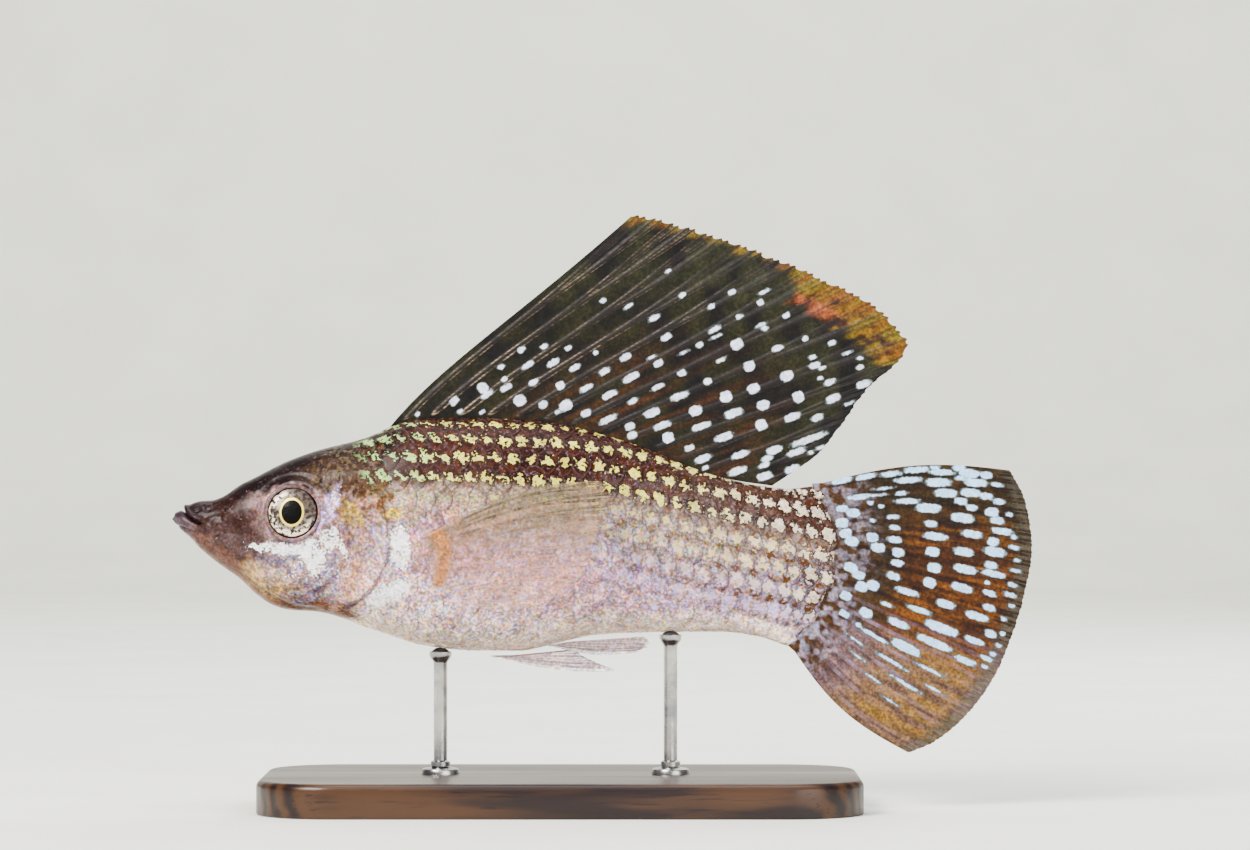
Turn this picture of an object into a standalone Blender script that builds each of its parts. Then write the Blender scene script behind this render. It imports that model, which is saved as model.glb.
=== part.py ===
"""Male sailfin molly at life size, a still display model on a plain stand.

The fish looks toward -X, its back is toward +Z and the stand's underside is the plane Z = 0. Sizes are in
millimetres. A place on the fish is given by u, the distance behind the tip of the lower jaw, by v, the
height above that tip, and by y, the distance from the middle plane, which is negative on the left side.
"""
import math
from dataclasses import dataclass
from typing import Callable

import bmesh
import bpy
import numpy as np
from mathutils import Matrix, Vector

MM = 0.001
TOTAL_LENGTH = 101.0
SNOUT_HEIGHT = 33.8
GAP = 0.3
REACH = 14.0

# Body: behind the jaw tip, height of the back, height of the belly, half width
BODY_STATIONS = (
    (0.0, 0.0, 0.0, 0.0),
    (0.9, 0.9, -1.1, 1.45),
    (2.1, 1.7, -2.1, 2.2),
    (3.3, 2.1, -3.4, 2.75),
    (4.7, 2.2, -4.6, 3.2),
    (5.9, 2.6, -5.5, 3.6),
    (8.0, 4.0, -7.0, 4.2),
    (9.8, 4.9, -8.7, 4.7),
    (11.7, 5.9, -10.0, 5.15),
    (13.6, 6.8, -10.6, 5.55),
    (17.3, 8.1, -10.9, 6.1),
    (22.0, 9.3, -12.3, 6.6),
    (24.3, 10.1, -13.1, 6.75),
    (26.7, 11.2, -13.9, 6.85),
    (29.0, 11.7, -14.6, 6.95),
    (36.0, 11.8, -15.3, 7.0),
    (40.7, 11.6, -15.3, 6.7),
    (45.4, 11.1, -14.3, 6.1),
    (50.1, 9.9, -13.4, 5.3),
    (54.8, 8.5, -13.2, 4.6),
    (59.4, 6.6, -13.1, 3.9),
    (64.1, 4.9, -13.1, 3.2),
    (68.8, 3.8, -13.7, 2.6),
    (72.3, 3.5, -14.9, 2.1),
    (75.8, 3.9, -15.5, 1.7),
    (80.0, 4.2, -15.8, 1.3),
)
# Section shape: behind the jaw tip, level of the widest place as a share of the depth, powers above and below
SECTION_SHAPES = (
    (0.0, 0.50, 2.2, 2.2),
    (14.0, 0.50, 2.7, 2.1),
    (30.0, 0.52, 2.0, 2.2),
    (60.0, 0.52, 1.8, 1.9),
    (80.0, 0.50, 1.8, 1.8),
)
BODY_RINGS = ((0.25, 4.75, 8), (5.5, 27.0, 19), (29.0, 62.0, 13), (64.5, 80.0, 7))
RING_POINTS = 28

# Cuts between head, trunk and tail stalk
NECK_LINE = ((26.2, 13.0), (25.4, 9.0), (24.3, 5.0), (23.2, 1.0), (22.6, -3.5), (21.8, -7.5), (20.6, -10.5),
             (19.4, -14.0))
NECK_POINTS = 16
CUT_FRONT = -5.0
CUT_TOP = 20.0
CUT_BOTTOM = -25.0
STALK_START = 62.0
STALK_LEAN = 1.2
TAIL_ARC_CENTRE = (62.3, -3.6)
TAIL_ARC_RADIUS = 15.6
STALK_ARC = (75, -75, 24)

# Gill covers
GILL_OUTLINE = ((20.2, 2.5), (23.2, 2.9), (24.9, 1.0), (25.5, -3.0), (24.7, -6.3), (22.7, -8.6), (20.6, -9.4),
                (18.8, -7.8), (18.0, -3.9), (18.6, 0.2))
GILL_PROUD = 0.3
GILL_DEPTH = 0.65
GILL_SPAN = (13.0, 30.0)

# Eyes: place of the centre, angles toward the front and the top, lathe profile of radius and height
EYE_AT = (14.5, 0.8)
EYE_TURN_FORWARD = 6.0
EYE_TURN_UP = 9.0
EYE_RADIUS = 3.05
EYE_DOME = 0.85
EYE_DEPTH = 2.3
EYE_LIFT = 0.1
ORBIT_RIM = 0.34

# Mouth: front end and corner of the gape, as seen from the side
GAPE_FRONT = (1.46, 0.94)
GAPE_CORNER = (3.4, -0.42)
GAPE_OPENING = 0.26
GAPE_REACH = 1.2
# Lips: radius, place of the front end and of the corner
LIPS = {"upper_lip": (0.42, (1.78, 1.18), (3.75, 0.05)), "lower_lip": (0.58, (0.78, 0.22), (3.2, -1.0))}
LIP_THINNING = 0.55
LIP_INSET = 0.1
LIP_SINK = 0.25
SNOUT_ROUNDNESS = 0.42
# Nostrils: place and radius
NOSTRILS = ((6.6, 1.1, 0.3), (10.3, 2.7, 0.34))

# Fins: thickness between the rays, height of a ray, and how far its tip stands out as a share of its length
MEMBRANE = 0.5
RIDGE = 0.2
SCALLOP = 0.0175
ROOT_TAPER = 0.35
RIDGE_START = 0.08
# Spread of the rays, as shares of the distance from one to the next, and the shares of length where they fork
RAY_START = 0.45
RAY_FOOT = 0.12
PLAIN_RAY_FOOT = 0.17
BRANCH_ROOT = 0.09
BRANCH_SPREAD = 0.15
BRANCH_FROM = 0.4
VALLEY_SPAN = (0.42, 0.6)
VALLEY_DEPTH = 0.75

# Stand
PLINTH_SIZE = (70.0, 36.0, 4.0)
PLINTH_CENTRE = -5.0
PLINTH_CORNER = 9.0
PLINTH_EDGE = 0.8
ROD_RADIUS = 0.8
ROD_FOOT = (2.2, 0.7)
ROD_FOOT_EDGE = 0.3
ROD_CUP = (1.3, 1.2)
ROD_PLACES = {"stand_rod_front": 31.4, "stand_rod_rear": 58.3}


def at(u, y, v):
    """A place on the fish as a point of the model, in metres."""
    return Vector((u - TOTAL_LENGTH / 2, y, v + SNOUT_HEIGHT)) * MM


def smooth_columns(table):
    """Slopes for a curve through each column of a table, flat where a column turns, so nothing overshoots."""
    rows = np.array(table, float)
    x, y = rows[:, 0], rows[:, 1:]
    step = np.diff(x)[:, None]
    rise = np.diff(y, axis=0) / step
    slope = np.zeros_like(y)
    slope[0], slope[-1] = rise[0], rise[-1]
    before, after = rise[:-1], rise[1:]
    w1, w2 = 2 * step[1:] + step[:-1], step[1:] + 2 * step[:-1]
    same = before * after > 0
    safe_before = np.where(same, before, 1.0)
    safe_after = np.where(same, after, 1.0)
    slope[1:-1] = np.where(same, (w1 + w2) / (w1 / safe_before + w2 / safe_after), 0.0)
    return x, y, slope


def read_columns(curve, u):
    """Values of all columns at u."""
    x, y, slope = curve
    i = int(np.clip(np.searchsorted(x, u) - 1, 0, len(x) - 2))
    step = x[i + 1] - x[i]
    t = np.clip((u - x[i]) / step, 0.0, 1.0)
    return (y[i] * (1 + 2 * t) * (1 - t) ** 2 + y[i + 1] * t * t * (3 - 2 * t)
            + step * (slope[i] * t * (1 - t) ** 2 - slope[i + 1] * t * t * (1 - t)))


BODY_CURVE = smooth_columns(BODY_STATIONS)
SHAPE_CURVE = smooth_columns(SECTION_SHAPES)


@dataclass
class Section:
    """The body's cross-section at one place, made larger or smaller by grow."""

    u: float
    grow: float = 0.0

    def __post_init__(self):
        top, bottom, half = read_columns(BODY_CURVE, self.u)
        share, self.top_power, self.low_power = read_columns(SHAPE_CURVE, self.u)
        self.middle = bottom + (top - bottom) * share
        self.above = top + self.grow - self.middle
        self.below = self.middle - bottom + self.grow
        self.half = half + self.grow

    def point(self, angle):
        """Point of the section at an angle, zero on the right side and a quarter turn at the back."""
        c, s = math.cos(angle), math.sin(angle)
        rise, power = (self.above, self.top_power) if s >= 0 else (self.below, self.low_power)
        y = self.half * math.copysign(abs(c) ** (2 / power), c)
        v = self.middle + rise * math.copysign(abs(s) ** (2 / power), s)
        return y, v

    def side(self, v):
        """Half width at height v."""
        rise, power = (self.above, self.top_power) if v >= self.middle else (self.below, self.low_power)
        share = min(abs(v - self.middle) / rise, 1.0)
        return self.half * (1 - share ** power) ** (1 / power)

    def belly(self, y):
        """Height of the underside at distance y from the middle."""
        share = min(abs(y) / self.half, 1.0)
        return self.middle - self.below * (1 - share ** self.low_power) ** (1 / self.low_power)


class Path:
    """A smooth flat curve through a few points, read by its share of length."""

    def __init__(self, points, closed=False, steps=12):
        p = np.array(points, float)
        if closed:
            p = np.vstack([p[-1], p, p[0], p[1]])
        else:
            p = np.vstack([2 * p[0] - p[1], p, 2 * p[-1] - p[-2]])
        rows = []
        for a, b, c, d in zip(p, p[1:], p[2:], p[3:]):
            for t in np.arange(steps) / steps:
                rows.append((2 * b + (c - a) * t + (2 * a - 5 * b + 4 * c - d) * t * t
                             + (3 * b - a - 3 * c + d) * t ** 3) / 2)
        rows.append(p[-2])
        self.rows = np.array(rows)
        self.lengths = np.concatenate([[0], np.cumsum(np.linalg.norm(np.diff(self.rows, axis=0), axis=1))])

    def __call__(self, share):
        length = share * self.lengths[-1]
        return np.array([np.interp(length, self.lengths, column) for column in self.rows.T])

    def sample(self, count):
        """Evenly spaced points, both ends included."""
        return [tuple(self(i / (count - 1))) for i in range(count)]


def ease(low, high, value):
    """Smooth step from 0 at low to 1 at high."""
    t = min(max((value - low) / (high - low), 0.0), 1.0)
    return t * t * (3 - 2 * t)


def new_collection(name):
    collection = bpy.data.collections.new(name)
    bpy.context.scene.collection.children.link(collection)
    return collection


def add_object(name, mesh, collection):
    obj = bpy.data.objects.new(name, mesh)
    collection.objects.link(obj)
    return obj


def from_bmesh(name, bm, collection):
    bmesh.ops.recalc_face_normals(bm, faces=bm.faces)
    mesh = bpy.data.meshes.new(name)
    bm.to_mesh(mesh)
    bm.free()
    return add_object(name, mesh, collection)


def cutter(name, obj):
    """Mark an object as a construction piece that is not part of the model."""
    obj.name = name
    obj.hide_render = True
    obj.display_type = "WIRE"
    return obj


def loft(name, rings, collection, nose=None):
    """Closed body through rings of points, with a point at the front where nose is given."""
    bm = bmesh.new()
    loops = [[bm.verts.new(p) for p in ring] for ring in rings]
    for a, b in zip(loops, loops[1:]):
        for i in range(len(a)):
            j = (i + 1) % len(a)
            bm.faces.new((a[i], a[j], b[j], b[i]))
    if nose is None:
        bm.faces.new(loops[0])
    else:
        tip = bm.verts.new(nose)
        for i in range(len(loops[0])):
            bm.faces.new((tip, loops[0][(i + 1) % len(loops[0])], loops[0][i]))
    bm.faces.new(loops[-1])
    return from_bmesh(name, bm, collection)


def body_ring(u, grow=0.0):
    section = Section(u, grow)
    ring = []
    for i in range(RING_POINTS):
        y, v = section.point(math.tau * i / RING_POINTS)
        ring.append(at(u, y, v))
    return ring


def body_loft(name, collection):
    places = np.concatenate([np.linspace(*span) for span in BODY_RINGS])
    return loft(name, [body_ring(u) for u in places], collection, nose=at(0, 0, 0))


def body_shell(name, grow, collection):
    """The body's form round the gills, larger or smaller by grow."""
    places = np.linspace(*GILL_SPAN, 15)
    return loft(name, [body_ring(u, grow) for u in places], collection)


def prism(name, outline, collection, low=-REACH, high=REACH):
    """Solid with a flat outline in the middle plane, reaching sideways from low to high."""
    curve = bpy.data.curves.new(name, "CURVE")
    curve.dimensions = "2D"
    curve.fill_mode = "BOTH"
    curve.extrude = (high - low) / 2 * MM
    spline = curve.splines.new("POLY")
    spline.points.add(len(outline) - 1)
    for point, (u, v) in zip(spline.points, outline):
        point.co = (*at(u, 0, v).xz, 0, 1)
    spline.use_cyclic_u = True
    flat = bpy.data.objects.new(name, curve)
    collection.objects.link(flat)
    upright = Matrix.Rotation(math.radians(90), 4, "X")
    flat.matrix_world = Matrix.Translation((0, (low + high) / 2 * MM, 0)) @ upright
    return solid_from_curve(name, flat, collection)


def solid_from_curve(name, source, collection):
    """Closed mesh object in place of a curve object."""
    bpy.context.view_layer.update()
    mesh = bpy.data.meshes.new_from_object(source.evaluated_get(bpy.context.evaluated_depsgraph_get()))
    mesh.transform(source.matrix_world)
    bpy.data.objects.remove(source)
    bm = bmesh.new()
    bm.from_mesh(mesh)
    bpy.data.meshes.remove(mesh)
    bmesh.ops.remove_doubles(bm, verts=bm.verts, dist=0.001 * MM)
    return from_bmesh(name, bm, collection)


def tube(name, points, radii, collection):
    """Round bar along points, with its own radius at each."""
    curve = bpy.data.curves.new(name, "CURVE")
    curve.dimensions = "3D"
    curve.bevel_depth = MM
    curve.bevel_resolution = 2
    curve.use_fill_caps = True
    spline = curve.splines.new("POLY")
    spline.points.add(len(points) - 1)
    for point, place, radius in zip(spline.points, points, radii):
        point.co = (*place, 1)
        point.radius = radius
    bar = bpy.data.objects.new(name, curve)
    collection.objects.link(bar)
    return solid_from_curve(name, bar, collection)


def lathe(name, profile, segments, collection, place, ring=False):
    """Closed body turned from a profile of radius and height, top to bottom, and put in place."""
    mesh = bpy.data.meshes.new(name)
    points = [(r * MM, 0, h * MM) for r, h in profile]
    edges = [(i, i + 1) for i in range(len(points) - 1)]
    if ring:
        edges.append((len(points) - 1, 0))
    mesh.from_pydata(points, edges, [])
    obj = add_object(name, mesh, collection)
    screw = obj.modifiers.new("turn", "SCREW")
    screw.axis = "Z"
    screw.steps = segments
    screw.render_steps = segments
    screw.use_merge_vertices = True
    screw.merge_threshold = 0.00001
    apply_modifiers(obj)
    obj.data.transform(place)
    return obj


def apply_modifiers(obj):
    bpy.context.view_layer.update()
    mesh = bpy.data.meshes.new_from_object(obj.evaluated_get(bpy.context.evaluated_depsgraph_get()))
    old = obj.data
    obj.modifiers.clear()
    obj.data = mesh
    bpy.data.meshes.remove(old)


def triangulate(obj):
    bm = bmesh.new()
    bm.from_mesh(obj.data)
    bmesh.ops.triangulate(bm, faces=bm.faces)
    bm.to_mesh(obj.data)
    bm.free()


def boolean(obj, other, operation):
    """Cut, join or intersect obj with other."""
    triangulate(obj)
    triangulate(other)
    modifier = obj.modifiers.new(operation.lower(), "BOOLEAN")
    modifier.operation = operation
    modifier.solver = "EXACT"
    modifier.object = other
    apply_modifiers(obj)


def keep_largest(obj):
    """Drop every scrap but the largest closed surface."""
    bm = bmesh.new()
    bm.from_mesh(obj.data)
    unseen = set(bm.faces)
    islands = []
    while unseen:
        island, edge = set(), [next(iter(unseen))]
        while edge:
            face = edge.pop()
            if face in island:
                continue
            island.add(face)
            edge.extend(f for e in face.edges for f in e.link_faces if f not in island)
        unseen -= island
        islands.append(island)
    islands.sort(key=lambda faces: sum(f.calc_area() for f in faces))
    scraps = [f for island in islands[:-1] for f in island]
    bmesh.ops.delete(bm, geom=scraps, context="FACES")
    loose = [v for v in bm.verts if not v.link_faces]
    bmesh.ops.delete(bm, geom=loose, context="VERTS")
    bm.to_mesh(obj.data)
    bm.free()


def mirrored(name, obj, collection):
    """The same piece on the right side."""
    mesh = obj.data.copy()
    mesh.name = name
    mesh.transform(Matrix.Scale(-1, 4, Vector((0, 1, 0))))
    mesh.flip_normals()
    return add_object(name, mesh, collection)


def finish(obj, colour, roughness, metallic=0.0):
    """Give the object its own plain material and smooth shading."""
    material = bpy.data.materials.new(obj.name)
    material.use_nodes = True
    shader = material.node_tree.nodes["Principled BSDF"]
    shader.inputs["Base Color"].default_value = (*colour, 1)
    shader.inputs["Roughness"].default_value = roughness
    shader.inputs["Metallic"].default_value = metallic
    obj.data.materials.clear()
    obj.data.materials.append(material)
    obj.data.shade_smooth()
    obj.data.set_sharp_from_angle(angle=math.radians(40))


@dataclass
class Fin:
    """A thin blade between a root curve and a margin curve, with its rays as ridges on both faces."""

    name: str
    root: Path
    margin: Path
    rays: int
    rows: int
    root_thickness: Callable
    aside: Callable
    first_bulge: Callable = lambda t: (0.0, 0.0)
    last_bulge: Callable = lambda t: (0.0, 0.0)
    across: tuple = (0.0, 1.0, 0.0)
    forked: bool = True
    ridge: float = RIDGE
    scallop: float = SCALLOP
    membrane: float = MEMBRANE

    def columns(self, t):
        """Places across the fin at length t, each with the share of a ridge's height there."""
        cell = 1 / (self.rays - 1 + 2 * RAY_START)
        branch = cell * (BRANCH_ROOT + BRANCH_SPREAD * ease(BRANCH_FROM, 1.0, t))
        foot = branch + RAY_FOOT * cell if self.forked else PLAIN_RAY_FOOT * cell
        valley = 1 - VALLEY_DEPTH * ease(*VALLEY_SPAN, t)
        places = [(0.0, 0.0)]
        for i in range(self.rays):
            centre = (i + RAY_START) * cell
            places.append((centre - foot, 0.0))
            if self.forked:
                places += [(centre - branch, 1.0), (centre, valley), (centre + branch, 1.0)]
            else:
                places.append((centre, 1.0))
            places.append((centre + foot, 0.0))
        return places + [(1.0, 0.0)]

    def place(self, s, t):
        """Place of the blade's middle surface, as u, y and v."""
        u, v = self.root(s) * (1 - t) + self.margin(s) * t
        du, dv = np.array(self.first_bulge(t)) * (1 - s) ** 3 + np.array(self.last_bulge(t)) * s ** 3
        return np.array((u + du, self.aside(s, t), v + dv))

    def build(self, collection):
        across = np.array(self.across) / np.linalg.norm(self.across)
        faces_left, faces_right = [], []
        bm = bmesh.new()
        for row in range(self.rows + 1):
            t = row / self.rows
            left, right = [], []
            for s, height in self.columns(t):
                reach = t * (1 + self.scallop * height) if row == self.rows else t
                middle = self.place(s, reach)
                extra = (self.root_thickness(s) - self.membrane) * (1 - ease(0, ROOT_TAPER, t))
                half = (self.membrane + extra) / 2 + self.ridge * height * ease(0.0, RIDGE_START, t)
                left.append(bm.verts.new(at(*(middle - across * half))))
                right.append(bm.verts.new(at(*(middle + across * half))))
            faces_left.append(left)
            faces_right.append(right)
        count = len(faces_left[0])
        for side, order in ((faces_left, 1), (faces_right, -1)):
            for row in range(self.rows):
                for i in range(count - 1):
                    a, b = side[row][i], side[row][i + 1]
                    c, d = side[row + 1][i + 1], side[row + 1][i]
                    bm.faces.new((a, b, c)[::order])
                    bm.faces.new((a, c, d)[::order])
        rim = [(0, i) for i in range(count - 1)] + [(r, count - 1) for r in range(self.rows)]
        rim += [(self.rows, i) for i in range(count - 1, 0, -1)] + [(r, 0) for r in range(self.rows, 0, -1)]
        for (r0, i0), (r1, i1) in zip(rim, rim[1:] + rim[:1]):
            a, b = faces_left[r0][i0], faces_left[r1][i1]
            c, d = faces_right[r1][i1], faces_right[r0][i0]
            bm.faces.new((a, b, c))
            bm.faces.new((a, c, d))
        return from_bmesh(self.name, bm, collection)


def bulge(du, dv):
    """Push an edge of a fin out by (du, dv), most at its middle."""
    return lambda t: (du * math.sin(math.pi * t), dv * math.sin(math.pi * t))


def neck_line(side_gap):
    """The cut behind the head and gills, from top to bottom, moved back by side_gap."""
    return [(u + side_gap, v) for u, v in Path(NECK_LINE).sample(NECK_POINTS)]


def stalk_line(side_gap):
    """The cut before the tail stalk, from top to bottom, moved back by side_gap."""
    return [(STALK_START + STALK_LEAN + side_gap, CUT_TOP), (STALK_START - STALK_LEAN + side_gap, CUT_BOTTOM)]


def head_outline():
    cut = neck_line(-GAP / 2)
    front = [(CUT_FRONT, CUT_BOTTOM), (CUT_FRONT, CUT_TOP)]
    return front + [(cut[0][0], CUT_TOP)] + cut + [(cut[-1][0], CUT_BOTTOM)]


def trunk_outline():
    cut = neck_line(GAP / 2)
    return [(cut[0][0], CUT_TOP)] + cut + [(cut[-1][0], CUT_BOTTOM)] + stalk_line(-GAP / 2)[::-1]


def tail_arc(radius, first, last, count):
    """Points of the arc at the end of the spine, from the angle first to last in degrees."""
    cu, cv = TAIL_ARC_CENTRE
    angles = np.radians(np.linspace(first, last, count))
    return [(cu + radius * math.cos(a), cv + radius * math.sin(a)) for a in angles]


def stalk_outline():
    return stalk_line(GAP / 2)[::-1] + tail_arc(TAIL_ARC_RADIUS, *STALK_ARC)


def eye_frame():
    """Where the left eye's axis leaves the head: origin on the surface, Z outward."""
    u, v = EYE_AT
    origin = at(u, -(Section(u).side(v) + EYE_LIFT), v)
    turn = Matrix.Rotation(math.radians(90), 4, "X")
    forward = Matrix.Rotation(math.radians(-EYE_TURN_FORWARD), 4, "Z")
    up = Matrix.Rotation(math.radians(-EYE_TURN_UP), 4, "X")
    return Matrix.Translation(origin) @ forward @ up @ turn


def eye_profile(extra):
    """Half outline of the eye's solid from its pole to its back, larger by extra."""
    radius, dome, depth = EYE_RADIUS + extra, EYE_DOME + extra, EYE_DEPTH + extra
    front = [(radius * math.sin(a), dome * math.cos(a)) for a in np.radians(np.linspace(0, 90, 6))]
    back = [(radius * math.cos(a), -depth * math.sin(a)) for a in np.radians(np.linspace(15, 90, 5))]
    profile = front + back
    profile[0], profile[-1] = (0.0, dome), (0.0, -depth)
    return profile


def lip_points(front, corner):
    """Points of a lip's middle line, from the left corner of the mouth round the snout to the right one."""
    width = Section(corner[0]).side(corner[1]) - LIP_INSET
    half = []
    for share in np.linspace(0, 1, 9) ** 2:
        u, v = np.array(front) * (1 - share) + np.array(corner) * share
        half.append((u, width * share ** SNOUT_ROUNDNESS - LIP_SINK * share ** 4, v))
    return [at(u, -y, v) for u, y, v in half[:0:-1]] + [at(*p) for p in half]


def lips(collection):
    """The two lips, each a bar round the snout that thins toward the corners of the mouth."""
    bars = []
    for name, (radius, front, corner) in LIPS.items():
        points = lip_points(front, corner)
        middle = (len(points) - 1) / 2
        radii = [radius * (1 - LIP_THINNING * (abs(i - middle) / middle) ** 2) for i in range(len(points))]
        bars.append(cutter(name, tube(name, points, radii, collection)))
    return bars


def gape_cut(collection):
    """Thin wedge that opens the mouth from the front to its corner."""
    front, corner = Vector(GAPE_FRONT), Vector(GAPE_CORNER)
    along = front - corner
    outer = front + along * GAPE_REACH
    across = along.orthogonal().normalized() * GAPE_OPENING / 2
    outline = [outer + 2 * across, outer - 2 * across, corner - across / 2, corner + across / 2]
    return cutter("gape", prism("gape", outline, collection))


def nostril_pits(collection):
    pits = []
    for side in (-1, 1):
        for number, (u, v, radius) in enumerate(NOSTRILS):
            bm = bmesh.new()
            bmesh.ops.create_uvsphere(bm, u_segments=10, v_segments=6, radius=radius * MM)
            bmesh.ops.translate(bm, verts=bm.verts, vec=at(u, side * (Section(u).side(v) - 0.02), v))
            name = f"nostril_{number}_{'left' if side < 0 else 'right'}"
            pits.append(cutter(name, from_bmesh(name, bm, collection)))
    return pits


def orbit_rims(collection):
    """Raised ring of skin round each eye."""
    middle = EYE_RADIUS + GAP + 0.4 * ORBIT_RIM
    profile = []
    for a in np.radians(np.linspace(0, 360, 9))[:-1]:
        profile.append((middle + 1.3 * ORBIT_RIM * math.cos(a), ORBIT_RIM * (1.1 * math.sin(a) - 0.7)))
    rims = []
    left = lathe("orbit_left", profile[::-1], 28, collection, eye_frame(), ring=True)
    rims.append(cutter("orbit_left", left))
    rims.append(cutter("orbit_right", mirrored("orbit_right", left, collection)))
    return rims


def eye_sockets(collection):
    left = lathe("socket_left", eye_profile(GAP), 24, collection, eye_frame())
    stretch_outward(left, 3.0)
    return [cutter("socket_left", left), cutter("socket_right", mirrored("socket_right", left, collection))]


def stretch_outward(obj, distance):
    """Carry the dome of a socket's cutter further out, so that it clears the skin."""
    frame = eye_frame()
    inverse = frame.inverted()
    for vertex in obj.data.vertices:
        local = inverse @ vertex.co
        if local.z > -0.01 * MM:
            local.z += distance * MM
            vertex.co = frame @ local


def gill_pieces(parts, cutters):
    """The two gill covers, and the cutter that sinks their beds into head and trunk."""
    outline = Path(GILL_OUTLINE, closed=True).sample(29)[:-1]
    centre = np.mean(outline, axis=0)
    wider = []
    for point in np.array(outline):
        away = (point - centre) / np.linalg.norm(point - centre)
        wider.append(tuple(point + away * GAP))
    cover = prism("gill_cover_left", outline, parts, low=-REACH, high=0)
    boolean(cover, cutter("gill_outer", body_shell("gill_outer", GILL_PROUD, cutters)), "INTERSECT")
    boolean(cover, cutter("gill_inner", body_shell("gill_inner", -GILL_DEPTH, cutters)), "DIFFERENCE")
    keep_largest(cover)
    bed = prism("gill_bed", wider, cutters)
    boolean(bed, cutter("gill_floor", body_shell("gill_floor", -GILL_DEPTH - GAP, cutters)), "DIFFERENCE")
    return cover, mirrored("gill_cover_right", cover, parts), cutter("gill_bed", bed)


def body_pieces(parts, cutters, bed):
    """Head, trunk and tail stalk, parted from one form by thin cuts."""
    outlines = {"head": head_outline(), "trunk": trunk_outline(), "tail_stalk": stalk_outline()}
    pieces = {}
    for name, outline in outlines.items():
        piece = body_loft(name, parts)
        boolean(piece, cutter(f"{name}_region", prism(f"{name}_region", outline, cutters)), "INTERSECT")
        pieces[name] = piece
    for bar in lips(cutters) + orbit_rims(cutters):
        boolean(pieces["head"], bar, "UNION")
    for tool in [gape_cut(cutters)] + eye_sockets(cutters) + nostril_pits(cutters) + [bed]:
        boolean(pieces["head"], tool, "DIFFERENCE")
    boolean(pieces["trunk"], bed, "DIFFERENCE")
    for piece in pieces.values():
        keep_largest(piece)
    return pieces


def eyes(parts):
    left = lathe("eye_left", eye_profile(0.0), 20, parts, eye_frame())
    return left, mirrored("eye_right", left, parts)


def back_line(first, last, count):
    """Points just above the ridge of the back."""
    return [(u, Section(u).point(math.pi / 2)[1] + GAP) for u in np.linspace(first, last, count)]


def dorsal_fin():
    margin = ((53.9, 35.6), (63.4, 33.1), (73.8, 29.0), (81.1, 25.4), (84.6, 22.3), (85.9, 20.6),
              (84.9, 18.4), (81.4, 15.3), (77.9, 10.6), (75.5, 7.6), (71.7, 4.9))

    def leading_edge(t):
        swell = 4.2 * t * (1 - t) ** 3
        return -swell, swell

    return Fin("dorsal_fin", Path(back_line(25.8, 70.2, 12)), Path(margin), rays=14, rows=6,
               root_thickness=lambda s: 1.1 - 0.4 * s,
               aside=lambda s, t: 0.9 * t ** 1.5 * math.sin(math.tau * (0.9 * s + 0.1)),
               first_bulge=leading_edge)


def tail_fin():
    margin = ((98.0, 5.7), (99.8, 2.2), (100.6, -3.6), (99.5, -9.5), (98.0, -14.2), (95.9, -18.8),
              (92.8, -22.9), (89.3, -25.9), (86.1, -27.3))
    root = tail_arc(TAIL_ARC_RADIUS + GAP, 29.5, -48.5, 12)
    return Fin("tail_fin", Path(root), Path(margin), rays=16, rows=6,
               root_thickness=lambda s: 0.8 + 1.5 * math.sin(math.pi * s),
               aside=lambda s, t: 0.7 * t ** 2 * math.sin(math.tau * (0.8 * s + 0.15)),
               first_bulge=bulge(0.0, 1.3), last_bulge=bulge(-1.0, -0.95))


def anal_fin():
    root = ((47.2, -14.3), (44.6, -14.9))
    margin = ((55.2, -13.75), (55.7, -14.3), (55.3, -15.0), (54.2, -15.6))
    return Fin("anal_fin", Path(root, steps=2), Path(margin), rays=4, rows=5,
               root_thickness=lambda s: 1.0, aside=lambda s, t: 0.0, forked=False, ridge=0.12, scallop=0.01,
               membrane=0.7, first_bulge=bulge(0.0, 0.2), last_bulge=bulge(0.0, -0.6))


def pelvic_fin():
    root = ((40.3, -15.95), (38.5, -16.2))
    margin = ((47.0, -15.3), (48.2, -16.2), (51.6, -17.7))
    return Fin("pelvic_fin_left", Path(root, steps=2), Path(margin), rays=4, rows=5,
               root_thickness=lambda s: 0.7, aside=lambda s, t: -(1.25 + 0.35 * s + 0.3 * t), forked=False,
               ridge=0.12, scallop=0.0, last_bulge=bulge(0.0, -0.3))


def pectoral_fin():
    root = ((31.0, -1.2), (30.4, -4.0), (30.8, -7.0), (32.0, -9.4))
    margin = ((50.1, 4.6), (50.9, 2.6), (49.4, -2.5), (47.0, -7.6), (42.6, -9.9))

    def aside(s, t):
        u, v = Path(root)(s)
        return -(Section(u).side(v) + GAP + 0.42 + 1.9 * t ** 1.3)

    return Fin("pectoral_fin_left", Path(root), Path(margin), rays=10, rows=5, root_thickness=lambda s: 0.7,
               aside=aside, across=(-0.15, 1.0, 0.1), forked=False, ridge=0.15, scallop=0.01,
               first_bulge=bulge(0.0, 1.5), last_bulge=bulge(0.0, -0.6))


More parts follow.
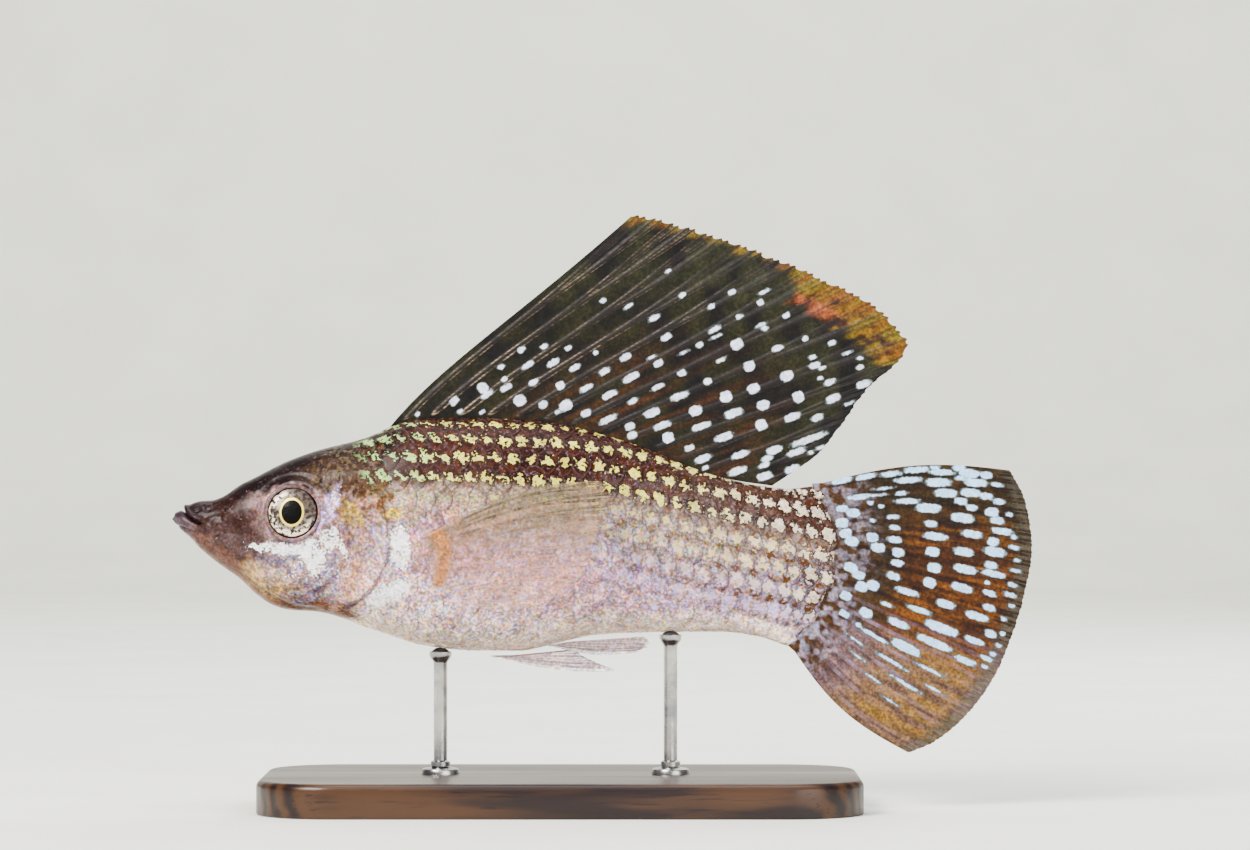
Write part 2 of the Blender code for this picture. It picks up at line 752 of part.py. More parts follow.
def stand_plinth(parts):
    """Flat base with rounded corners and a softened upper edge."""
    bm = bmesh.new()
    bmesh.ops.create_cube(bm, size=1)
    length, width, height = PLINTH_SIZE
    bmesh.ops.scale(bm, vec=Vector(PLINTH_SIZE) * MM, verts=bm.verts)
    bmesh.ops.translate(bm, vec=Vector((PLINTH_CENTRE, 0, height / 2)) * MM, verts=bm.verts)
    upright = [e for e in bm.edges if abs(e.verts[0].co.z - e.verts[1].co.z) > height * MM / 2]
    bmesh.ops.bevel(bm, geom=upright, offset=PLINTH_CORNER * MM, segments=6, profile=0.5, affect="EDGES")
    top = height * MM - 1e-6
    upper = [e for e in bm.edges if all(v.co.z > top for v in e.verts)]
    bmesh.ops.bevel(bm, geom=upper, offset=PLINTH_EDGE * MM, segments=2, profile=0.5, affect="EDGES")
    return from_bmesh("stand_base", bm, parts)


def stand_rod(name, u, parts):
    """Rod on a low foot, with a small cup just under the belly."""
    lowest = min(Section(u + du).belly(0) for du in (-ROD_CUP[0], 0, ROD_CUP[0]))
    top = lowest + SNOUT_HEIGHT - GAP
    base = PLINTH_SIZE[2] + GAP
    foot_radius, foot_height = ROD_FOOT
    cup_radius, cup_height = ROD_CUP
    profile = [(0.0, top), (cup_radius, top), (cup_radius, top - 0.4 * cup_height),
               (ROD_RADIUS, top - cup_height), (ROD_RADIUS, base + foot_height),
               (foot_radius - ROD_FOOT_EDGE, base + foot_height),
               (foot_radius, base + 0.5 * foot_height), (foot_radius, base), (0.0, base)]
    place = Matrix.Translation(Vector((u - TOTAL_LENGTH / 2, 0, 0)) * MM)
    return lathe(name, profile, 16, parts, place)


def main():
    for obj in list(bpy.data.objects):
        bpy.data.objects.remove(obj)
    parts = new_collection("sailfin_molly")
    cutters = new_collection("cutters")

    cover_left, cover_right, bed = gill_pieces(parts, cutters)
    pieces = body_pieces(parts, cutters, bed)
    for cover in (cover_left, cover_right):
        finish(cover, (0.62, 0.58, 0.56), 0.35)
    finish(pieces["head"], (0.45, 0.38, 0.36), 0.4)
    finish(pieces["trunk"], (0.60, 0.55, 0.58), 0.35)
    finish(pieces["tail_stalk"], (0.55, 0.50, 0.52), 0.35)
    for eye in eyes(parts):
        finish(eye, (0.55, 0.52, 0.45), 0.1)

    finish(dorsal_fin().build(parts), (0.10, 0.08, 0.07), 0.45)
    finish(tail_fin().build(parts), (0.28, 0.16, 0.09), 0.45)
    finish(anal_fin().build(parts), (0.66, 0.62, 0.64), 0.4)
    for fin, colour in ((pelvic_fin(), (0.70, 0.64, 0.64)), (pectoral_fin(), (0.55, 0.47, 0.45))):
        left = fin.build(parts)
        finish(left, colour, 0.4)
        right = mirrored(fin.name.replace("left", "right"), left, parts)
        finish(right, colour, 0.4)

    finish(stand_plinth(parts), (0.09, 0.05, 0.03), 0.35)
    for name, u in ROD_PLACES.items():
        finish(stand_rod(name, u, parts), (0.62, 0.62, 0.63), 0.28, metallic=1.0)


main()
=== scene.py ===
"""Male sailfin molly at life size on a display stand, as a museum model.

Places on the fish are in millimetres: u is the distance behind the tip of the lower jaw, v the height above
that tip, and y the distance from the middle plane, negative on the left side. Meshes are made in metres.
"""
import logging
import math
from dataclasses import dataclass
from enum import Enum
from typing import Any, NamedTuple, Sequence

import bmesh
import bpy
import numpy as np
from mathutils import Matrix, Vector


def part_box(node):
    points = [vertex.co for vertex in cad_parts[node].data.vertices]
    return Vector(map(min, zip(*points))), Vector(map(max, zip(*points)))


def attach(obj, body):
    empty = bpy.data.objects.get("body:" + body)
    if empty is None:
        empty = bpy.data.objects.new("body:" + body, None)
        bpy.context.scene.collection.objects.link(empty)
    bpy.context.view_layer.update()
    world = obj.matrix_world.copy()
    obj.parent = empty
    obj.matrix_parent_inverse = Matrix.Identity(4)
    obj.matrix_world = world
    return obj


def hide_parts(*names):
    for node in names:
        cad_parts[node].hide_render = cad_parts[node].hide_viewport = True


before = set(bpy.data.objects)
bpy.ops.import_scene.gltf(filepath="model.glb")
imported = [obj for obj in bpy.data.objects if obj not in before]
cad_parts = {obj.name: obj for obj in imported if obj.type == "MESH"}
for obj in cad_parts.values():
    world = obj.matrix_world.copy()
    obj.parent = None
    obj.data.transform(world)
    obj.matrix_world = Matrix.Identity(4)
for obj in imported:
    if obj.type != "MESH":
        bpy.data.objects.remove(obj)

Array = np.ndarray
Pair = tuple[float, float]
Colour = tuple[float, float, float]

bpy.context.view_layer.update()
LOG = logging.getLogger("sailfin")

MM = 0.001
TOTAL_LENGTH = 101.0
SNOUT_HEIGHT = 33.8
GAP = 0.3
BODY = "root"
BAKE_MAP = "OFBake"


class Side(Enum):
    """A side of the fish, with the sign of y there."""

    LEFT = -1
    RIGHT = 1


class Role(Enum):
    """What a studio light does."""

    KEY = "key"
    FILL = "fill"
    RIM = "rim"
    TOP = "top"
    PAPER = "paper"


def metres(places: Array) -> Array:
    """Points of the model, in metres, for places given as rows of u, y and v."""
    return (places + np.array((-TOTAL_LENGTH / 2, 0.0, SNOUT_HEIGHT))) * MM


def ease(low: float, high: float, value: Any) -> Any:
    """Smooth step from 0 at low to 1 at high."""
    t = np.clip((value - low) / (high - low), 0.0, 1.0)
    return t * t * (3 - 2 * t)


STUDIO_LIGHT = 2.5
VEIL = 0.012
STOPS = (-9.0, -7.2, -6.08, -5.26, -4.62, -4.09, -3.64, -3.25, -2.89, -2.55, -2.22, -1.88, -1.51, -1.12,
         -0.70, -0.22, 0.33, 0.97, 1.75, 2.73)
SHOWN = tuple(i / 20 for i in range(len(STOPS)))


def tone(red: int, green: int, blue: int) -> Colour:
    """Surface colour that looks like a display colour, 0 to 255, under the studio's light."""
    lit = 2.0 ** np.interp(np.array((red, green, blue)) / 255, SHOWN, STOPS)
    return tuple(float(part) for part in np.clip((lit - VEIL) / STUDIO_LIGHT, 0.002, 0.9))


def blend(first: Any, second: Any, share: Any) -> Array:
    """Mix of two colours, or rows of colours, by a share for each row.

    Args:
        first: colour where the share is 0.
        second: colour where the share is 1.
        share: one number, or one for each row.

    Returns:
        Rows of mixed colours.
    """
    share = np.asarray(share)[..., None]
    return np.asarray(first) * (1 - share) + np.asarray(second) * share


def with_last(colours: Array, last: Any) -> Array:
    """Rows of colours with a fourth value, one number or one for each row."""
    last = np.broadcast_to(np.asarray(last, float)[..., None], colours.shape[:-1] + (1,))
    return np.concatenate([colours, last], axis=-1)


class Columns:
    """Smooth curves through the columns of a short table, flat where a column turns."""

    def __init__(self, table: Sequence[Sequence[float]]) -> None:
        """Work out the slopes at the table's rows, whose first column is the place.

        Args:
            table: rows of numbers, whose first column is the place.
        """
        rows = np.array(table, float)
        self.x, self.y = rows[:, 0], rows[:, 1:]
        step = np.diff(self.x)[:, None]
        rise = np.diff(self.y, axis=0) / step
        self.slope = np.zeros_like(self.y)
        self.slope[0], self.slope[-1] = rise[0], rise[-1]
        before, after = rise[:-1], rise[1:]
        w1, w2 = 2 * step[1:] + step[:-1], step[1:] + 2 * step[:-1]
        same = before * after > 0
        ratio = w1 / np.where(same, before, 1.0) + w2 / np.where(same, after, 1.0)
        self.slope[1:-1] = np.where(same, (w1 + w2) / ratio, 0.0)

    def __call__(self, place: Any) -> Array:
        """Values of all columns at each place.

        Args:
            place: one place or an array of them.

        Returns:
            One row of values for each place.
        """
        place = np.asarray(place, float)
        i = np.clip(np.searchsorted(self.x, place) - 1, 0, len(self.x) - 2)
        step = (self.x[i + 1] - self.x[i])[..., None]
        t = np.clip((place - self.x[i])[..., None] / step, 0.0, 1.0)
        ends = self.y[i] * (1 + 2 * t) * (1 - t) ** 2 + self.y[i + 1] * t * t * (3 - 2 * t)
        return ends + step * (self.slope[i] * t * (1 - t) ** 2 - self.slope[i + 1] * t * t * (1 - t))


class Path:
    """A smooth flat curve through a few points, read by its share of length."""

    def __init__(self, points: Sequence[Pair], steps: int = 12) -> None:
        """Lay the curve through the points, with some steps between each two.

        Args:
            points: the points that the curve runs through.
            steps: pieces between two points.
        """
        p = np.array(points, float)
        p = np.vstack([2 * p[0] - p[1], p, 2 * p[-1] - p[-2]])
        rows = []
        for a, b, c, d in zip(p, p[1:], p[2:], p[3:]):
            for t in np.arange(steps) / steps:
                rows.append((2 * b + (c - a) * t + (2 * a - 5 * b + 4 * c - d) * t * t
                             + (3 * b - a - 3 * c + d) * t ** 3) / 2)
        rows.append(p[-2])
        self.rows = np.array(rows)
        pieces = np.linalg.norm(np.diff(self.rows, axis=0), axis=1)
        self.lengths = np.concatenate([[0], np.cumsum(pieces)])

    def __call__(self, share: Any) -> Array:
        """Points at shares of the curve's length."""
        length = np.asarray(share) * self.lengths[-1]
        return np.stack([np.interp(length, self.lengths, column) for column in self.rows.T], axis=-1)


class SoftNoise:
    """A smooth random field in space, between -1 and 1, the same on every run."""

    def __init__(self, seed: int) -> None:
        """Fill the table that the field is read from."""
        self.table = np.random.default_rng(seed).random(4096)

    def __call__(self, points: Array, size: Any) -> Array:
        """Value of the field at each point, for blotches of about the given size.

        Args:
            points: the places that the field is read at.
            size: about how large a blotch is.

        Returns:
            One value for each place.
        """
        p = np.asarray(points) / size
        cell = np.floor(p).astype(int)
        f = p - cell
        f = f * f * (3 - 2 * f)
        total = np.zeros(p.shape[:-1])
        for corner in range(8):
            offset = np.array([(corner >> axis) & 1 for axis in range(3)])
            key = ((cell + offset) @ np.array((127, 3119, 7919))) % 4096
            total += np.prod(np.where(offset, f, 1 - f), axis=-1) * self.table[key]
        return total * 2 - 1


def grid_faces(rows: int, columns: int, closed: bool = False) -> Array:
    """Corners of the quads between vertices that are counted row by row.

    Args:
        rows: number of rows of vertices.
        columns: number of vertices in a row.
        closed: whether the last vertex of a row joins the first.

    Returns:
        One row of four vertex numbers for each quad.
    """
    r, c = np.meshgrid(np.arange(rows - 1), np.arange(columns if closed else columns - 1), indexing="ij")
    n = (c + 1) % columns
    a, b = r * columns + c, r * columns + n
    return np.stack([a, b, b + columns, a + columns], axis=-1).reshape(-1, 4)


def grid_normals(places: Array) -> Array:
    """Outward normals of the left half of the body, for rows along it and columns from back to belly.

    Args:
        places: rows of u, y and v.

    Returns:
        One unit normal for each place.
    """
    along = np.gradient(places, axis=0)
    down = np.gradient(places, axis=1)
    normals = np.cross(down, along)
    normals[:, (0, -1), 1] = 0.0
    return normals / np.maximum(np.linalg.norm(normals, axis=-1, keepdims=True), 1e-9)


class PieceMesh:
    """Vertices, faces and painted values of one piece, gathered before its mesh is made."""

    KINDS = {1: ("FLOAT", "value"), 3: ("FLOAT_VECTOR", "vector"), 4: ("FLOAT_COLOR", "color")}
    WELD = 1e-7

    def __init__(self, name: str) -> None:
        """Start with nothing.

        Args:
            name: the name that it gets.
        """
        self.name = name
        self.vertices: list[Array] = []
        self.faces: list[list[int]] = []
        self.values: dict[str, list[Array]] = {}
        self.count = 0

    def add(self, places: Array, faces: Any, values: dict[str, Array]) -> None:
        """Add a patch of vertices.

        Args:
            places: rows of u, y and v, in any grid shape.
            faces: vertex numbers of each face, counted from this patch's first vertex.
            values: painted values by name, with as many rows as there are vertices.
        """
        flat = places.reshape(-1, 3)
        self.vertices.append(metres(flat))
        self.faces += [[int(v) + self.count for v in face] for face in faces]
        for key, value in values.items():
            self.values.setdefault(key, []).append(np.asarray(value, float).reshape(len(flat), -1))
        self.count += len(flat)

    def make(self, material: bpy.types.Material, weld: bool = False) -> bpy.types.Object:
        """Make the mesh object, smooth shaded, that rides on the body.

        Args:
            material: its finish.
            weld: join vertices that lie on one another and turn all faces outward.

        Returns:
            The new object.
        """
        mesh = bpy.data.meshes.new(self.name)
        mesh.from_pydata(np.concatenate(self.vertices).tolist(), [], self.faces)
        for key, parts in self.values.items():
            value = np.concatenate(parts)
            if key == BAKE_MAP:
                corners = np.zeros(len(mesh.loops), np.int32)
                mesh.loops.foreach_get("vertex_index", corners)
                layer = mesh.uv_layers.new(name=BAKE_MAP)
                layer.uv.foreach_set("vector", value[corners].ravel().astype(np.float32))
                continue
            kind, word = self.KINDS[value.shape[1]]
            store = mesh.attributes.new(key, kind, "POINT")
            store.data.foreach_set(word, value.ravel().astype(np.float32))
        if weld:
            bm = bmesh.new()
            bm.from_mesh(mesh)
            bmesh.ops.remove_doubles(bm, verts=bm.verts, dist=self.WELD)
            bmesh.ops.recalc_face_normals(bm, faces=bm.faces)
            bm.to_mesh(mesh)
            bm.free()
        mesh.shade_smooth()
        return place_object(self.name, mesh, material)


def place_object(name: str, mesh: bpy.types.Mesh, material: bpy.types.Material) -> bpy.types.Object:
    """Put a mesh in the scene as a piece that rides on the body.

    Args:
        name: the name that it gets.
        mesh: its mesh.
        material: its finish.

    Returns:
        The new object.
    """
    obj = bpy.data.objects.new(name, mesh)
    obj.data.materials.append(material)
    bpy.context.scene.collection.objects.link(obj)
    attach(obj, BODY)
    return obj


# Finishes

class Wiring:
    """Short ways to add nodes to a tree and to join them."""

    def __init__(self, tree: bpy.types.NodeTree) -> None:
        """Work on one tree."""
        self.tree = tree

    def node(self, kind: str, inputs: dict[Any, Any] | None = None, **settings: Any) -> bpy.types.Node:
        """Add a node.

        Args:
            kind: the node's type without its common first part.
            inputs: sockets to link from, or plain values, by input name or number.
            settings: properties of the node itself.

        Returns:
            The new node.
        """
        node = self.tree.nodes.new("ShaderNode" + kind)
        for key, value in settings.items():
            setattr(node, key, value)
        self.fill(node, inputs or {})
        return node

    def fill(self, node: bpy.types.Node, inputs: dict[Any, Any]) -> None:
        """Link or set several of a node's inputs.

        Args:
            node: the node.
            inputs: sockets to link from, or plain values, by input name or number.
        """
        for key, value in inputs.items():
            if isinstance(value, bpy.types.NodeSocket):
                self.tree.links.new(value, node.inputs[key])
            else:
                node.inputs[key].default_value = value

    def math(self, operation: str, first: Any, second: Any = 0.0, third: Any = 0.0) -> bpy.types.NodeSocket:
        """Result of one sum."""
        return self.node("Math", {0: first, 1: second, 2: third}, operation=operation).outputs[0]

    def plus(self, first: Any, second: Any) -> bpy.types.NodeSocket:
        """Sum of two values."""
        return self.math("ADD", first, second)

    def minus(self, first: Any, second: Any) -> bpy.types.NodeSocket:
        """Difference of two values."""
        return self.math("SUBTRACT", first, second)

    def times(self, first: Any, second: Any) -> bpy.types.NodeSocket:
        """Product of two values."""
        return self.math("MULTIPLY", first, second)

    def times_plus(self, first: Any, second: Any, third: Any) -> bpy.types.NodeSocket:
        """Product of two values, plus a third."""
        return self.math("MULTIPLY_ADD", first, second, third)

    def over(self, first: Any, second: Any) -> bpy.types.NodeSocket:
        """One value divided by another."""
        return self.math("DIVIDE", first, second)

    def hypot(self, first: Any, second: Any) -> bpy.types.NodeSocket:
        """Length of a flat vector with two parts."""
        return self.math("SQRT", self.plus(self.math("POWER", first, 2.0), self.math("POWER", second, 2.0)))

    def bump(self, height: Any, strength: float, depth: float) -> bpy.types.NodeSocket:
        """Normal tilted by a height, with a depth in millimetres."""
        return self.node("Bump", {"Height": height, "Strength": strength, "Distance": depth * MM}).outputs[0]

    def step(self, value: Any, low: float, high: float, to: Pair = (0.0, 1.0)) -> bpy.types.NodeSocket:
        """Smooth step of a value between two limits."""
        inputs = {0: value, 1: low, 2: high, 3: to[0], 4: to[1]}
        return self.node("MapRange", inputs, interpolation_type="SMOOTHSTEP").outputs[0]

    def mix(self, share: Any, first: Any, second: Any, way: str = "MIX") -> bpy.types.NodeSocket:
        """Mix of two colours.

        Args:
            share: how much of the second colour.
            first: the first colour.
            second: the second colour.
            way: how the colours are mixed.

        Returns:
            The mixed colour.
        """
        inputs = {0: share}
        for slot, value in ((6, first), (7, second)):
            inputs[slot] = value if isinstance(value, bpy.types.NodeSocket) else (*value[:3], 1.0)
        return self.node("Mix", inputs, data_type="RGBA", blend_type=way).outputs[2]

    def painted(self, name: str) -> bpy.types.Node:
        """Values painted on the mesh under a name."""
        return self.node("Attribute", attribute_type="GEOMETRY", attribute_name=name)

    def split(self, vector: Any) -> list[bpy.types.NodeSocket]:
        """The three parts of a vector."""
        return list(self.node("SeparateXYZ", {0: vector}).outputs)

    def noise(self, size: float, detail: float = 2.0, stretch: Vector | None = None,
              output: int = 0) -> bpy.types.NodeSocket:
        """Noise in space with blotches of a size in millimetres.

        Args:
            size: about how large a blotch is.
            detail: layers of finer noise.
            stretch: scale of each axis.
            output: 0 for a value, 1 for a colour.

        Returns:
            The value or colour.
        """
        place = self.node("TexCoord").outputs["Object"]
        if stretch is not None:
            place = self.node("VectorMath", {0: place, 1: stretch}, operation="MULTIPLY").outputs[0]
        inputs = {"Vector": place, "Scale": 1 / (size * MM), "Detail": detail}
        return self.node("TexNoise", inputs).outputs[output]

    def placed(self, group: bpy.types.NodeTree, inputs: dict[str, Any]) -> bpy.types.Node:
        """A copy of a shared group, with its own values."""
        return self.node("Group", inputs, node_tree=group)


class SharedEffects:
    """Node groups that several finishes use, each built once."""

    def __init__(self) -> None:
        """Build the groups."""
        self.cells = self.build_cells()
        self.sparkle = self.build_sparkle()
        self.pores = self.build_pores()

    @staticmethod
    def start(name: str, inputs: dict[str, str], outputs: dict[str, str]) -> tuple[Any, Wiring, Any, Any]:
        """Make an empty group with its sockets.

        Args:
            name: the group's name.
            inputs: socket kinds by input name.
            outputs: socket kinds by output name.

        Returns:
            The group, its wiring, and its input and output nodes.
        """
        group = bpy.data.node_groups.new(name, "ShaderNodeTree")
        for way, sockets in (("INPUT", inputs), ("OUTPUT", outputs)):
            for label, kind in sockets.items():
                group.interface.new_socket(label, in_out=way, socket_type="NodeSocket" + kind)
        return group, Wiring(group), group.nodes.new("NodeGroupInput"), group.nodes.new("NodeGroupOutput")

    def build_cells(self) -> bpy.types.NodeTree:
        """Place inside the nearest scale, and a chance value for each scale, from the scale count.

        Returns:
            The group.
        """
        outputs = {"Along": "Float", "Across": "Float", "Chance": "Float"}
        group, w, given, out = self.start("scale_cells", {"Count": "Vector"}, outputs)
        along, row, _ = w.split(given.outputs["Count"])
        row_number = w.math("ROUND", row)
        odd = w.times(w.math("PINGPONG", row_number, 1.0), 0.5)
        shifted = w.minus(along, odd)
        number = w.math("ROUND", shifted)
        cell = w.node("CombineXYZ", {0: number, 1: row_number}).outputs[0]
        chance = w.node("TexWhiteNoise", {"Vector": cell}, noise_dimensions="3D")
        w.fill(out, {"Along": w.minus(shifted, number), "Across": w.minus(row, row_number),
                     "Chance": chance.outputs["Value"]})
        return group

    def build_sparkle(self) -> bpy.types.NodeTree:
        """Fine speckle of light and dark, warm and cool, as light makes on silvery skin.

        Returns:
            The group.
        """
        inputs = {"Colour": "Color", "Strength": "Float", "Tint": "Float"}
        group, w, given, out = self.start("sparkle", inputs, {"Colour": "Color"})
        grain = w.step(w.noise(0.34), 0.30, 0.70, (-0.75, 0.75))
        cloud = w.step(w.noise(1.1), 0.32, 0.68, (-0.4, 0.4))
        stops = w.times(w.plus(grain, cloud), given.outputs["Strength"])
        hues = w.node("SeparateColor", {0: w.noise(0.52, output=1)}).outputs
        warm, rosy = (w.times(w.minus(hue, 0.5), given.outputs["Tint"]) for hue in hues[:2])
        parts = w.node("SeparateColor", {0: given.outputs["Colour"]}).outputs
        lit = []
        for part, by_warm, by_rosy in zip(parts, (0.55, 0.10, -1.15), (0.35, -0.35, 0.15)):
            shift = w.times_plus(warm, by_warm, w.times(rosy, by_rosy))
            lit.append(w.times(part, w.math("POWER", 2.0, w.plus(stops, shift))))
        colour = w.node("CombineColor", {0: lit[0], 1: lit[1], 2: lit[2]}).outputs[0]
        w.fill(out, {"Colour": colour})
        return group

    def build_pores(self) -> bpy.types.NodeTree:
        """Height of a fine moist grain.

        Returns:
            The group.
        """
        group, w, given, out = self.start("moist_grain", {"Strength": "Float"}, {"Height": "Float"})
        grain = w.times_plus(w.noise(0.12), 0.4, w.noise(0.5, 3.0))
        w.fill(out, {"Height": w.times(grain, given.outputs["Strength"])})
        return group

    def glittering(self, w: Wiring, colour: Any, strength: Any, tint: Any) -> bpy.types.NodeSocket:
        """A colour with the sparkle over it.

        Args:
            w: wiring of the material.
            colour: the colour.
            strength: how far it goes lighter and darker.
            tint: how far it goes warmer and cooler.

        Returns:
            The speckled colour.
        """
        if not isinstance(colour, bpy.types.NodeSocket):
            colour = (*colour, 1.0)
        return w.placed(self.sparkle, {"Colour": colour, "Strength": strength, "Tint": tint}).outputs[0]

    def grain(self, w: Wiring, strength: float) -> bpy.types.NodeSocket:
        """Height of the moist grain, at a strength."""
        return w.placed(self.pores, {"Strength": strength}).outputs[0]


def new_material(name: str) -> tuple[bpy.types.Material, Wiring, bpy.types.Node]:
    """A material with its wiring and its Principled shader.

    Args:
        name: the name that it gets.

    Returns:
        The material, its wiring and its shader.
    """
    material = bpy.data.materials.new(name)
    material.use_nodes = True
    wiring = Wiring(material.node_tree)
    return material, wiring, material.node_tree.nodes["Principled BSDF"]


@dataclass(frozen=True)
class FleshFinish:
    """Silvery, pigmented fish skin, used alike on the skin and on the scales over it."""

    name: str
    rims: bool
    back_spot: Colour = tone(210, 206, 132)
    nape_spot: Colour = tone(186, 202, 158)
    rear_spot: Colour = tone(208, 202, 192)
    flank_spot: Colour = tone(222, 213, 186)
    low_spot: Colour = tone(210, 202, 218)
    white: Colour = tone(237, 228, 228)
    glint: Colour = tone(182, 170, 178)
    dot: Colour = tone(122, 74, 26)
    rim: Colour = tone(112, 84, 80)
    rust: Colour = tone(104, 50, 20)
    shade: Colour = tone(30, 16, 12)
    bronze: Colour = tone(134, 116, 76)
    slant: float = 0.56

    def make(self, effects: SharedEffects) -> bpy.types.Material:
        """Build the material.

        Args:
            effects: the shared node groups.

        Returns:
            The material.
        """
        material, w, shader = new_material(self.name)
        paint = w.painted("paint").outputs["Color"]
        masks = w.painted("masks")
        back, dots, shine = w.node("SeparateColor", {0: masks.outputs["Color"]}).outputs
        facets = masks.outputs["Alpha"]
        count = w.painted("scale_count").outputs["Vector"]
        wobble = w.node("VectorMath", {0: w.noise(0.55, output=1), 1: (0.5, 0.5, 0.5)},
                        operation="SUBTRACT").outputs[0]
        warped = w.node("VectorMath", {0: count, 1: wobble}, operation="ADD").outputs[0]
        cells = w.placed(effects.cells, {"Count": warped}).outputs
        number, row, _ = w.split(count)

        # Ragged oval spots, one to a scale, slanting and slimmer toward the rear
        rear = w.step(number, 4.0, 11.0)
        down = w.times(cells["Across"], ScaleLayout.ROW / ScaleLayout.PITCH)
        along = w.times_plus(down, self.slant, cells["Along"])
        across = w.times_plus(cells["Along"], -self.slant, down)
        last = w.step(number, 17.0, 23.0, (0.0, 0.07))
        long = w.times_plus(rear, -0.22, w.plus(last, 0.66))
        wide = w.times_plus(rear, 0.15, w.plus(last, 0.21))
        reach = w.hypot(w.over(along, long), w.over(across, wide))
        fray = w.times(w.minus(w.noise(0.42, 3.0), 0.5), w.times_plus(rear, -0.9, 2.2))
        ragged = w.times_plus(cells["Chance"], 0.25, w.plus(reach, fray))
        spot = w.times(w.step(ragged, 1.0, 0.85), back)
        shade = w.times(w.step(ragged, 1.7, 1.05), back)
        spot_colour = w.mix(w.step(number, 1.0, 8.0), self.nape_spot, self.back_spot)
        spot_colour = w.mix(w.step(number, 16.0, 26.0), spot_colour, self.rear_spot)
        spot_colour = effects.glittering(w, spot_colour, 0.45, 1.2)

        # Brown dots and faint seams along the edges between the flank's rows
        bent_number, bent_row, _ = w.split(warped)
        line = w.math("PINGPONG", w.plus(bent_row, 0.5), 0.5)
        beat = w.math("PINGPONG", bent_number, 0.5)
        far = w.hypot(w.over(line, 0.16), w.over(beat, 0.30))
        seam = w.times(w.times(w.step(line, 0.2, 0.05), dots), 0.35)
        dot = w.math("MAXIMUM", w.times(w.step(far, 1.25, 0.55), dots), seam)

        # Painted ground with rust, dark rings round the spots, speckle, and pale lilac flecks that are
        # painted glints
        rust = w.times(w.step(w.noise(0.8, 3.0), 0.46, 0.62), back)
        ground = w.mix(w.times(rust, 0.7), paint, self.rust)
        ground = w.mix(w.times(shade, 0.75), ground, self.shade)
        calm = w.step(w.node("RGBToBW", {0: paint}).outputs[0], 0.5, 0.85, (1.0, 0.35))
        strength = w.times(w.times_plus(shine, 0.9, 0.6), calm)
        tint = w.times(w.times_plus(shine, 4.2, 0.8), calm)
        base = effects.glittering(w, ground, strength, tint)
        bronze = w.times(w.step(w.noise(0.5, 3.0), 0.53, 0.60), facets)
        base = w.mix(w.times(bronze, 0.65), base, self.bronze)
        # Painted glints: pale lilac flecks of reflected light, a few everywhere, more on the back and most
        # toward its rear.
        painted_glint = w.times_plus(back, w.times_plus(rear, 0.20, 0.06), 0.11)
        painted_glint = w.times(w.step(w.noise(0.38, 3.0), 0.56, 0.68), painted_glint)
        base = w.mix(painted_glint, base, self.glint)

        # All of them laid over one another, with flaky white areas on top
        flank = w.times(w.times(w.step(ragged, 1.0, 0.8), dots), 0.6)
        flank_colour = w.mix(w.step(row, 1.2, 2.8), self.flank_spot, self.low_spot)
        colour = w.mix(flank, base, flank_colour)
        colour = w.mix(spot, colour, spot_colour)
        colour = w.mix(dot, colour, self.dot)
        flaky = w.times_plus(w.noise(0.30, 3.0), 1.9, w.painted("white").outputs["Fac"])
        pale = effects.glittering(w, self.white, 0.5, 1.0)
        colour = w.mix(w.step(flaky, 1.42, 1.70), colour, pale)

        # Relief: growth rings on the scales, small plates on the bare head
        rough = w.step(w.noise(0.9), 0.3, 0.7, (0.30, 0.46))
        height = effects.grain(w, 0.35)
        if self.rims:
            edge = w.painted("edge").outputs["Fac"]
            dark_rim = w.times(w.step(edge, 0.80, 1.0), w.times_plus(back, 0.4, 0.16))
            colour = w.mix(dark_rim, colour, self.rim)
            rings = w.math("SINE", w.times(edge, 70.0))
            height = w.times_plus(rings, 0.05, height)
            # Painted sheen: each scale a little lighter or darker at random, for the way each tilted scale
            # catches the light.
            own = w.times_plus(w.painted("chance").outputs["Fac"], 0.24, 0.88)
            grey = w.node("CombineColor", {0: own, 1: own, 2: own}).outputs[0]
            colour = w.mix(1.0, colour, grey, "MULTIPLY")
        else:
            parts = w.placed(effects.cells, {"Count": count}).outputs
            plate = w.step(w.hypot(w.times(parts["Along"], 2.0), w.times(parts["Across"], 2.0)), 1.15, 0.75)
            height = w.plus(height, w.times(w.times(plate, facets), 0.9))
        bump = w.bump(height, 0.45, 0.12)
        metal = w.times(shine, w.step(w.noise(0.45), 0.3, 0.7, (0.25, 0.85)))
        w.fill(shader, {"Base Color": colour, "Roughness": rough, "Metallic": metal, "Normal": bump,
                        "Coat Weight": 0.05, "Coat Roughness": 0.12, "Specular IOR Level": 0.08})
        return material


